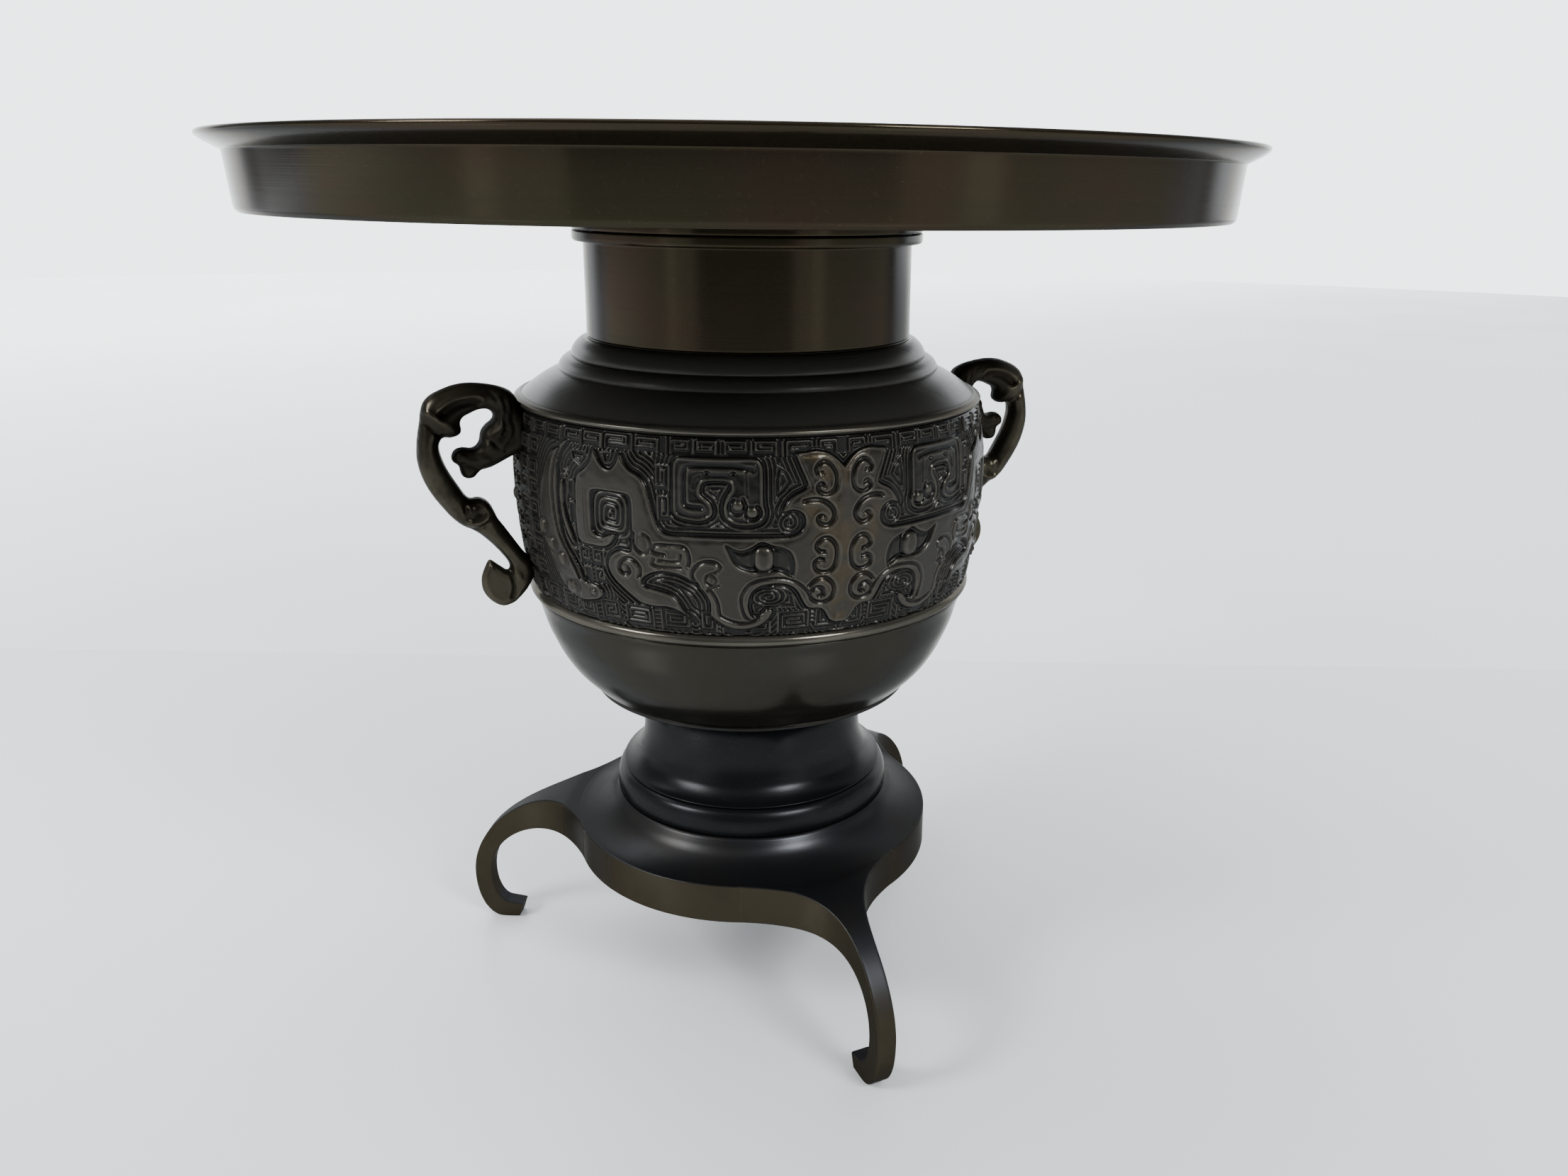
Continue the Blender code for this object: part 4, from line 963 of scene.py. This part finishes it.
def handle_sheet(spacing):
    """Both flanks of the handle, swelling from its outline, as a closed bmesh at +X."""
    columns, rows = np.arange(74, 111.5, spacing), np.arange(139.5, 216.5, spacing)
    plan = HeightMap(columns, rows)
    whole = (slice(None), slice(None))
    depth = -plan.distance(smooth_run(HANDLE_OUTLINE, 3, closed=True), whole, closed=True)
    total = half = reach = 1e-12
    for x, y, wide, flank in HANDLE_WIDTHS:
        weight = np.exp(-((plan.x - x) ** 2 + (plan.y - y) ** 2) / 22)
        total, half, reach = total + weight, half + weight * wide, reach + weight * flank
    share = np.clip(depth / (reach / total), 0, 1)
    relief = np.zeros_like(depth)
    for width, deep, path in HANDLE_LINES:
        path = smooth_run(path, 5)
        window = plan.window(path, width * 2.5)
        relief[window] -= deep * np.exp(-(plan.distance(path, window) / width) ** 2)
    for x, y, wide, high, rise in HANDLE_LUMPS:
        relief += rise * np.exp(-(((plan.x - x) / wide) ** 2 + ((plan.y - y) / high) ** 2) ** 1.5)
    flank = half / total * np.sqrt(share * (2 - share)) + relief * step(0.1, 1.2, depth)
    kept = depth > -0.8 * spacing
    inner = kept.copy()
    for down in (-1, 0, 1):
        for right in (-1, 0, 1):
            inner &= np.roll(kept, (down, right), axis=(0, 1))
    rise_y, rise_x = np.gradient(depth, spacing)
    snap = np.where(inner, 0, -depth)
    aside = np.where(inner, -np.maximum(flank, 0.15), 0)
    points = np.stack([plan.x + snap * rise_x, aside, plan.y + snap * rise_y], axis=-1)
    bm = bmesh.new()
    bmesh.ops.create_grid(bm, x_segments=len(columns) - 1, y_segments=len(rows) - 1, size=1)
    bm.verts.ensure_lookup_table()
    for vert, point in zip(bm.verts, points.reshape(-1, 3)):
        vert.co = point * MM
    bmesh.ops.delete(bm, geom=[v for v, stays in zip(bm.verts, kept.ravel()) if not stays], context='VERTS')
    bmesh.ops.delete(bm, geom=[v for v in bm.verts if not v.link_faces], context='VERTS')
    for vert in bm.verts:
        if vert.is_boundary:
            vert.co.y = 0
    mirrored = bmesh.ops.duplicate(bm, geom=bm.verts[:] + bm.edges[:] + bm.faces[:])["geom"]
    bmesh.ops.scale(bm, vec=(1, -1, 1), verts=[v for v in mirrored if isinstance(v, bmesh.types.BMVert)])
    bmesh.ops.remove_doubles(bm, verts=[v for v in bm.verts if v.is_boundary], dist=1e-7)
    bmesh.ops.recalc_face_normals(bm, faces=bm.faces)
    return bm


def evened(bm, voxel, rounds):
    """An even, smooth skin round a closed bmesh."""
    mesh = bpy.data.meshes.new("flanks")
    bm.to_mesh(mesh)
    bm.free()
    holder = bpy.data.objects.new("flanks", mesh)
    bpy.context.scene.collection.objects.link(holder)
    skin = holder.modifiers.new("skin", 'REMESH')
    skin.mode = 'VOXEL'
    skin.voxel_size = voxel
    ease = holder.modifiers.new("ease", 'SMOOTH')
    ease.factor = 0.5
    ease.iterations = rounds
    graph = bpy.context.evaluated_depsgraph_get()
    result = bpy.data.meshes.new_from_object(holder.evaluated_get(graph))
    bpy.data.objects.remove(holder)
    bpy.data.meshes.remove(mesh)
    return result


def read_array(items, name, width, kind=float):
    """One property of a mesh's items, as rows of an array."""
    values = np.zeros(len(items) * width, dtype=kind)
    items.foreach_get(name, values)
    return values.reshape(-1, width)


def wear_and_highlight(mesh, rounds):
    """Keep on each vertex how far it stands out of its surroundings, from 0 to 1."""
    places = read_array(mesh.vertices, "co", 3)
    normals = read_array(mesh.vertex_normals, "vector", 3)
    edges = read_array(mesh.edges, "vertices", 2, np.int64)
    smooth = places.copy()
    count = np.bincount(edges.ravel(), minlength=len(places))[:, None]
    for _ in range(rounds):
        total = np.zeros_like(smooth)
        for axis in range(3):
            for near, far in ((0, 1), (1, 0)):
                total[:, axis] += np.bincount(edges[:, near], smooth[edges[:, far], axis], len(places))
        smooth = 0.4 * smooth + 0.6 * total / np.maximum(count, 1)
    out = np.einsum("ij,ij->i", places - smooth, normals)
    values = np.clip(0.5 + out / (2 * WEAR_AND_HIGHLIGHT_REACH), 0, 1)
    layer = mesh.attributes.new("wear_and_highlight", 'FLOAT', 'POINT')
    layer.data.foreach_set("value", values.astype(np.float32))


# Stand: legs

# Outer and inner edge of a leg's side in mm: height at the root, control points of the arch and of
# the foot, and start, run and bend of the curled tip; then the root's reaches and the points of each
LEG_EDGES = (
    (54.85, [(68, 54.85), (89.89, 52.373), (107.8, 36.489), (107.8, 18.8)],
     [(107.8, 18.8), (107.8, 7.52), (103.5, 0.0), (97.5, 0.0)],
     (97.5, 0.0), (-6.0, 0.0), (0.0, 0.25)),
    (41.42, [(68, 41.42), (88.916, 41.4), (101.2, 32.36), (101.2, 18.8)],
     [(101.2, 18.8), (101.2, 11.28), (98.4, 6.6), (95.4, 6.4)],
     (95.4, 6.4), (-5.6, -0.9), (0.0, 0.0)))
LEG_ROOT = (48, 68)
LEG_STEPS = {"root": 18, "arch": 44, "foot": 40, "tip": 10}

# Half width of a leg at its foot and, where the platform's edge is left, at its root, in mm
LEG_HALF_FOOT = 3.25
LEG_HALF_ROOT = 30.0
LEG_WIDE_REACH = 56.53
LEG_SLIM_REACH = 104.8

# Eased corner of a leg's section: reach in mm, and its points as shares of the reach
LEG_EASE = 0.55
LEG_CORNER = (
    (0, 1 + EDGE_HOLD / LEG_EASE), (0, 1), (0.076, 0.617), (0.293, 0.293), (0.617, 0.076), (1, 0),
    (1 + EDGE_HOLD / LEG_EASE, 0))


def bezier(points, count):
    """Points of a cubic curve from its control points."""
    a, b, c, d = (np.array(p, float) for p in points)
    t = np.linspace(0, 1, count)[:, None]
    return (1 - t) ** 3 * a + 3 * t * (1 - t) ** 2 * b + 3 * t * t * (1 - t) * c + t ** 3 * d


def leg_edge(height, arch, foot, start, run, bend):
    """Points of one edge of a leg's side, as (reach, height) in mm."""
    root = np.linspace(*LEG_ROOT, LEG_STEPS["root"])[:-1]
    t = np.linspace(0, 1, LEG_STEPS["tip"])[:, None]
    return np.vstack([
        np.column_stack([root, np.full(len(root), height)]),
        bezier(arch, LEG_STEPS["arch"])[:-1],
        bezier(foot, LEG_STEPS["foot"])[:-1],
        np.array(start) + np.array(run) * t + np.array(bend) * t * t])


def leg_half_width(reach):
    """Half width of a leg along its edge, leaving the platform's round edge tangentially."""
    share = np.clip((reach - LEG_WIDE_REACH) / (LEG_SLIM_REACH - LEG_WIDE_REACH), 0, 1)
    wide = LEG_HALF_FOOT + (LEG_HALF_ROOT - LEG_HALF_FOOT) * (1 - share) ** 3.4
    knee = LEG_STEPS["root"] + LEG_STEPS["arch"] - 2
    return np.where(np.arange(len(reach)) > knee, LEG_HALF_FOOT, wide)


def leg(turn):
    """Rings of a leg, with eased edges, turned round the axis."""
    outer, inner = (leg_edge(*edge) for edge in LEG_EDGES)
    outer_half, inner_half = leg_half_width(outer[:, 0]), leg_half_width(inner[:, 0])
    thick = np.linalg.norm(outer - inner, axis=1)
    rings = []
    for share, side in ((0, -1), (1, -1), (1, 1), (0, 1)):
        for inset_side, inset_across in LEG_CORNER:
            if (share, side) in ((0, -1), (1, 1)):
                inset_side, inset_across = inset_across, inset_side
            inset = LEG_EASE * inset_across / thick
            level = inset if share == 0 else 1 - inset
            half = inner_half + (outer_half - inner_half) * level - LEG_EASE * inset_side
            point = inner + (outer - inner) * level[:, None]
            rings.append(np.column_stack([point[:, 0], side * half, point[:, 1]]))
    reach, aside, height = np.moveaxis(np.stack(rings, axis=1) * MM, -1, 0)
    heading = -math.pi / 2 + turn
    x = reach * math.cos(heading) - aside * math.sin(heading)
    y = reach * math.sin(heading) + aside * math.cos(heading)
    return np.stack([x, y, height], axis=-1)


# Finishes


def turned_bronze(name, settings):
    """Patinated bronze of turned pieces, with fine turning lines and a tone for each zone."""
    finish = new_finish(name)
    place = finish.place()
    height = finish.axis(place, "Z")
    flat = finish.vector('MULTIPLY', place, (1, 1, 0))
    radius = finish.node("ShaderNodeVectorMath", {"operation": 'LENGTH'}, {0: flat}, "Value")
    rings = finish.node("ShaderNodeCombineXYZ", inputs={0: radius, 1: height})
    fine = finish.between(height, *WAIST_TOP, 0.2, 1.0)
    brushed = (finish.noise(rings, 2400, 3, 0.65) - 0.5) * fine + 0.5
    bands = finish.noise(rings, 260, 2, 0.5)
    cloud = finish.noise(place, 24, 3, 0.55, 0.4)
    speck = finish.noise(place, 900, 1, 0.5)
    neck = tuple(settings.neck_colour)
    polished = finish.mix(
        finish.between(cloud + bands * 0.25, 0.52, 0.78), neck, tuple(settings.warm_colour))
    polished = finish.mix(finish.between(height, *DISH_FOOT, 0.0, 0.10), polished, BLACK)
    bowl = finish.mix(finish.between(cloud, 0.35, 0.65), *BOWL_TONES)
    tone = finish.mix(finish.between(height, *BOWL_FOOT), tuple(settings.blue_colour), bowl)
    # Shoulder under the dish: its lighter colour is partly patina, partly painted light lifting its shade.
    tone = finish.mix(finish.between(height, *CONE_FOOT), tone, tuple(settings.shoulder_colour_and_painted_light))
    tone = finish.mix(finish.between(height, *NECK_FOOT), tone, polished)
    # Lighter patchy beads: partly their own tone, partly a painted highlight line.
    beads = finish.inside(height, *LOW_BEAD) + finish.inside(height, *HIGH_BEAD)
    tone = finish.mix(beads * finish.between(cloud, 0.3, 0.6, 0.5, 1.0), tone, BEAD_TONE)
    tone = finish.mix(finish.between(brushed, 0.55, 0.85, 0.0, 0.35), tone, scaled(neck, 0.45))
    tone = finish.mix(finish.between(speck, 0.68, 0.74, 0.0, 0.15), tone, scaled(neck, 2.2))
    rough = finish.between(brushed * 0.4 + cloud * 0.6, 0.3, 0.7, 0.16, 0.24)
    rough = rough + finish.between(height, *CONE_FOOT, 0.0, 0.1) * finish.between(height, *NECK_FOOT[::-1])
    rough = rough + finish.between(height, *WAIST_TOP[::-1], 0.0, 0.075)
    rough = rough - finish.between(height, *DISH_FOOT, 0.0, 0.06)
    normal = finish.bump(brushed * 0.7 + bands * fine * 0.3, 0.2, 0.00005)
    # The shoulder is less metallic so its lighter colour shows as diffuse painted light in the dish's shade.
    return bronze_base(finish, tone, rough, normal, 0.7 - finish.inside(height, *SHOULDER) * 0.3)


def relief_bronze(name, settings):
    """Cast bronze with a black ground and rubbed high faces."""
    finish = new_finish(name)
    place = finish.place()
    rise = finish.attribute("rise")
    cloud = finish.noise(place, 60, 3, 0.6, 0.3)
    grain = finish.noise(place, 1500, 2, 0.6)
    pores = finish.noise(place, 650, 3, 0.6)
    patch = finish.noise(place, 95, 3, 0.6, 0.5)
    aside = finish.axis(place, "X")
    aside = aside * aside
    high = finish.between(rise + (cloud - 0.5) * 0.3, 0.35, 0.95)
    rubbed = tuple(settings.rubbed_colour)
    brown = finish.between(patch - aside * 260, 0.46, 0.62) * high
    tone = finish.mix(high, tuple(settings.recess_colour), rubbed)
    tone = finish.mix(brown * 0.8, tone, BROWN_PATCH)
    tone = finish.mix(
        finish.between(finish.attribute("wear_and_highlight"), 0.62, 0.92, 0.0, 0.7), tone, scaled(rubbed, 2.2))
    flank = finish.between(aside, 0.0048, 0.0060)
    rough = finish.between(rise + (cloud - 0.5) * 0.6, 0.2, 1.0, 0.40, 0.32) + flank * 0.15
    finish.set(Coat_Weight=0.18 - flank * 0.18, Coat_Roughness=0.11)
    normal = finish.bump(pores * (1.2 - high * 0.65) + grain * 0.35, 0.75, 0.00024)
    return bronze_base(finish, tone, rough, normal)


def cast_bronze(name, colour, shade):
    """Cast bronze worn along its edges."""
    finish = new_finish(name)
    place = finish.place()
    aside = finish.axis(place, "X")
    height = finish.axis(place, "Z")
    edge = finish.attribute("wear_and_highlight")
    cloud = finish.noise(place, 70, 3, 0.6, 0.3)
    grain = finish.noise(place, 1300, 2, 0.6)
    tone = finish.mix(finish.between(cloud, 0.30, 0.62), shade, colour)
    tone = finish.mix(finish.between(edge, 0.56, 0.85, 0.0, 0.6), tone, scaled(colour, 1.6))
    head = finish.between(aside * aside, 0.0106, 0.0096) * finish.between(height, 0.178, 0.185)
    tone = finish.mix(head * finish.between(height, 0.2120, 0.2060, 0.35, 0.95), tone, shade)
    tone = finish.mix(finish.between(edge, 0.44, 0.2, 0.0, 0.8), tone, scaled(shade, 0.25))
    rough = finish.between(cloud, 0.3, 0.7, 0.26, 0.36) + head * 0.18
    return bronze_base(finish, tone, rough, finish.bump(grain, 0.3, 0.00006))


def stand_bronze(name, side, top):
    """Bronze of the stand: faces turned up painted blue-black and steeper faces browner, as painted light
    and shade by which way they face, and lighter along the edges, partly wear and partly a painted
    highlight.
    """
    finish = new_finish(name)
    place = finish.place()
    height = finish.axis(place, "Z")
    upright = finish.axis(finish.place("Normal"), "Z")
    edge = finish.attribute("wear_and_highlight")
    cloud = finish.noise(place, 40, 3, 0.6, 0.3)
    grain = finish.noise(place, 1400, 2, 0.6)
    # Painted light and shade: faces turned up, and the platform's top, take the blue-black top colour,
    # steeper faces the brown side colour.
    facing = finish.between(upright + (cloud - 0.5) * 0.3, 0.25, 0.65)
    facing = facing + finish.between(height, 0.0551, 0.0556)
    tone = finish.mix(facing, side, top)
    tone = finish.mix(finish.between(cloud, 0.4, 0.7, 0.0, 0.35), tone, scaled(side, 0.6))
    # Lighter edges: partly wear, partly a painted highlight along them.
    tone = finish.mix(finish.between(edge, 0.60, 0.95, 0.0, 0.5), tone, scaled(side, 2.4))
    rough = finish.between(cloud, 0.3, 0.7, 0.29, 0.36) + finish.between(height, 0.050, 0.036, 0.0, 0.14)
    normal = finish.bump(grain, 0.25, 0.00006)
    return bronze_base(finish, tone, rough, normal, 0.82, scaled(EDGE_TINT, 0.65))


def paper(name, colour, lighter, heading, painted_glow=0.0):
    """Pale smooth paper with faint marks, and a painted glow: it emits light far off along a heading,
    standing in for the light of the white room there.
    """
    finish = new_finish(name)
    place = finish.place()
    cloud = finish.noise(place, 3, 2, 0.5)
    mark = finish.noise(place, 160, 2, 0.6)
    tone = finish.mix(finish.between(cloud, 0.3, 0.7), colour, lighter)
    tone = finish.mix(finish.between(mark, 0.78, 0.86, 0.0, 0.25), tone, scaled(colour, 0.6))
    # Painted glow: the paper emits the room's tint far off along the heading, as painted light.
    ahead = finish.vector('DOT_PRODUCT', place, heading, "Value")
    finish.set(
        Base_Color=tone, Roughness=finish.between(cloud, 0.3, 0.7, 0.20, 0.24),
        Emission_Color=finish.mix(finish.between(ahead, 0.4, 2.6), BLACK, ROOM_TINT),
        Emission_Strength=painted_glow)
    return finish.block


# Operators


class VASE_OT_dish(bpy.types.Operator):
    """Turn the wide dish that lifts off the neck"""
    bl_idname = "vase.dish"
    bl_label = "Dish"

    def execute(self, context):
        settings = context.scene.vase_turning
        bm = lathe(dish_section(settings.edge_round / MM), settings.segments)
        finish_piece("dish_turned", bm, turned_bronze("dish_patina", settings), "dish_bronze", "dish")
        return {'FINISHED'}


class VASE_OT_body(bpy.types.Operator):
    """Turn the hollow body with its pedestal, bowl, shoulder and neck"""
    bl_idname = "vase.body"
    bl_label = "Body"

    def execute(self, context):
        settings = context.scene.vase_turning
        bm = lathe(body_section(settings.edge_round / MM), settings.segments)
        finish_piece("body_turned", bm, turned_bronze("body_patina", settings), "body_bronze", "body")
        return {'FINISHED'}


class VASE_OT_relief(bpy.types.Operator):
    """Model the cast band of masks as four mirrored quarters"""
    bl_idname = "vase.relief"
    bl_label = "Relief band"

    def execute(self, context):
        settings = context.scene.vase_relief
        material = relief_bronze("relief_patina", settings)
        places, values = relief_quarter(settings, settings.grid / MM * (1))
        for name, across, facing in (
                ("front_left", -1, -1), ("front_right", 1, -1), ("back_left", -1, 1), ("back_right", 1, 1)):
            bm = sheet(places * (across, facing, 1) * MM, values)
            finish_piece("relief_" + name, bm, material, "body_bronze", "body", sharp=None)
        return {'FINISHED'}


class VASE_OT_handles(bpy.types.Operator):
    """Shape the beast handle and its mirror twin"""
    bl_idname = "vase.handles"
    bl_label = "Handles"

    def execute(self, context):
        settings = context.scene.vase_handles
        colour = tuple(settings.colour)
        material = cast_bronze("handle_patina", colour, scaled(colour, 0.35))
        voxel = settings.voxel * 1
        right = evened(handle_sheet(voxel / MM), voxel, 3)
        for side, sign in (("right", 1), ("left", -1)):
            bm = bmesh.new()
            bm.from_mesh(right)
            bmesh.ops.transform(bm, matrix=Matrix.Diagonal((sign, 1, 1, 1)), verts=bm.verts)
            bmesh.ops.recalc_face_normals(bm, faces=bm.faces)
            piece = finish_piece(
                "handle_" + side + "_cast", bm, material, "handle_bronze", "handle_" + side, sharp=None)
            wear_and_highlight(piece.data, 12)
        bpy.data.meshes.remove(right)
        return {'FINISHED'}


class VASE_OT_stand(bpy.types.Operator):
    """Turn the platform and shape its three curled legs"""
    bl_idname = "vase.stand"
    bl_label = "Tripod stand"

    def execute(self, context):
        settings = context.scene.vase_stand
        turning = context.scene.vase_turning
        material = stand_bronze("stand_patina", tuple(settings.side_colour), tuple(settings.top_colour))
        shapes = {"platform": lathe(platform_section(turning.edge_round / MM), turning.segments)}
        for name, turn in (("leg_front", 0), ("leg_right", 120), ("leg_left", 240)):
            shapes[name] = loft(leg(settings.turn + math.radians(turn)))
        for name, bm in shapes.items():
            piece = finish_piece("stand_" + name, bm, material, "stand_bronze", "tripod_stand")
            wear_and_highlight(piece.data, 3)
        return {'FINISHED'}


class VASE_OT_stage(bpy.types.Operator):
    """Lay the floor, light the room and place the camera"""
    bl_idname = "vase.stage"
    bl_label = "Stage"

    def execute(self, context):
        settings = context.scene.vase_stage
        self.add_floor(settings)
        self.add_room(context, settings)
        for light in LIGHTS:
            self.add_light(*light)
        self.add_camera(context, settings)
        return {'FINISHED'}

    def add_floor(self, settings):
        """Lay a wide round floor, and a sheet on it that the vase stands on."""
        colour = tuple(settings.floor_colour)
        # Heading along which the room floor's painted glow rises
        glowing = settings.camera_turn - math.radians(46)
        heading = (math.sin(glowing), math.cos(glowing), 0)
        bm = lathe([(0, -0.8), (3800, -0.8), (3800, -5), (0, -5)], 96)
        # The room floor gets a painted glow far off; the sheet under the vase does not glow.
        self.add_stage("room_floor", bm, paper("room_paper", colour, scaled(colour, 1.1), heading, 1.9))
        bm = bmesh.new()
        bmesh.ops.create_cube(bm, size=1, matrix=Matrix.Diagonal((3.0, 1.0, 0.0006, 1)))
        bmesh.ops.translate(bm, verts=bm.verts, vec=(0, -0.217, -0.00035))
        turn = Matrix.Rotation(-settings.camera_turn, 4, 'Z')
        bmesh.ops.transform(bm, matrix=turn, verts=bm.verts)
        self.add_stage("table_sheet", bm, paper("sheet_paper", scaled(colour, 0.93), colour, heading))

    def add_stage(self, name, bm, material):
        """Make a piece of the stage."""
        piece = make_object(name, bm, material, STAGE_SHARP_ANGLE)

    def add_room(self, context, settings):
        """Light the room evenly, brighter on the side that the camera looks towards."""
        room = Finish(bpy.data.worlds.new("room"), "Background")
        direction = room.place("Generated")
        height = room.axis(direction, "Z")
        heading = (math.sin(settings.camera_turn), math.cos(settings.camera_turn), 0)
        ahead = room.vector('DOT_PRODUCT', direction, heading, "Value")
        bright = room.between(ahead, 0.53, 0.66, 0.0, settings.room_bright - settings.room_dim)
        bright = bright * room.between(height, 0.25, 0.60, 1.0, 0.25)
        sides = room.between(ahead, -0.05, 0.45, settings.room_dim, settings.room_dim + settings.room_sides)
        ceiling = room.between(height, 0.5, 0.95, 0.0, settings.room_ceiling)
        room.set(Color=tuple(settings.room_colour), Strength=bright + sides + ceiling)
        context.scene.world = room.block

    def add_light(self, name, place, target, size, power):
        """Hang a rectangular lamp that points at a target."""
        light = bpy.data.lights.new(name, 'AREA')
        light.shape = 'RECTANGLE'
        light.size, light.size_y = size
        light.energy = power
        lamp = bpy.data.objects.new(name, light)
        lamp.location = place
        heading = Vector(target) - Vector(place)
        lamp.rotation_euler = heading.to_track_quat('-Z', 'Y').to_euler()
        lamp.visible_camera = False
        bpy.context.scene.collection.objects.link(lamp)

    def add_camera(self, context, settings):
        """Place the camera where the photograph was taken from."""
        turn, tilt, roll = settings.camera_turn, settings.camera_tilt, settings.camera_roll
        level = Vector((math.cos(turn), -math.sin(turn), 0))
        ahead = Vector((math.cos(tilt) * math.sin(turn), math.cos(tilt) * math.cos(turn), -math.sin(tilt)))
        above = level.cross(ahead)
        right = math.cos(roll) * level - math.sin(roll) * above
        up = math.sin(roll) * level + math.cos(roll) * above
        camera = bpy.data.cameras.new("camera")
        camera.sensor_width = SENSOR_WIDTH
        camera.sensor_fit = 'HORIZONTAL'
        camera.lens = settings.focal_pixels / PHOTO_WIDTH * SENSOR_WIDTH
        camera.shift_x = (PHOTO_WIDTH / 2 - PRINCIPAL_POINT[0]) / PHOTO_WIDTH
        camera.shift_y = (PRINCIPAL_POINT[1] - PHOTO_HEIGHT / 2) / PHOTO_WIDTH
        camera.clip_start = 0.02
        holder = bpy.data.objects.new("camera", camera)
        matrix = Matrix((right, up, -ahead)).transposed().to_4x4()
        matrix.translation = Vector(settings.camera_place)
        holder.matrix_world = matrix
        context.scene.collection.objects.link(holder)
        context.scene.camera = holder


class VASE_PT_panel(bpy.types.Panel):
    """Buttons that build each piece of the vase"""
    bl_idname = "VASE_PT_panel"
    bl_label = "Usubata"
    bl_space_type = 'VIEW_3D'
    bl_region_type = 'UI'
    bl_category = "Usubata"

    def draw(self, context):
        for operator in OPERATORS:
            self.layout.operator(operator.bl_idname)
        for name in SETTINGS:
            settings = getattr(context.scene, name)
            box = self.layout.box()
            box.label(text=settings.bl_rna.description)
            for key in settings.bl_rna.properties.keys():
                if key not in ("rna_type", "name"):
                    box.prop(settings, key)


OPERATORS = (
    VASE_OT_stage, VASE_OT_dish, VASE_OT_body, VASE_OT_relief, VASE_OT_handles, VASE_OT_stand)
CLASSES = (*SETTINGS.values(), *OPERATORS, VASE_PT_panel)


def register():
    """Add the settings, operators and panel to Blender."""
    for item in CLASSES:
        bpy.utils.register_class(item)
    for name, group in SETTINGS.items():
        setattr(bpy.types.Scene, name, PointerProperty(type=group))


def unregister():
    """Take them out again."""
    for name in SETTINGS:
        delattr(bpy.types.Scene, name)
    for item in reversed(CLASSES):
        bpy.utils.unregister_class(item)


def main():
    """Build the stage and every piece."""
    register()
    bpy.ops.vase.stage()
    bpy.ops.vase.dish()
    bpy.ops.vase.body()
    bpy.ops.vase.relief()
    bpy.ops.vase.handles()
    bpy.ops.vase.stand()


if __name__ == "__main__":
    main()
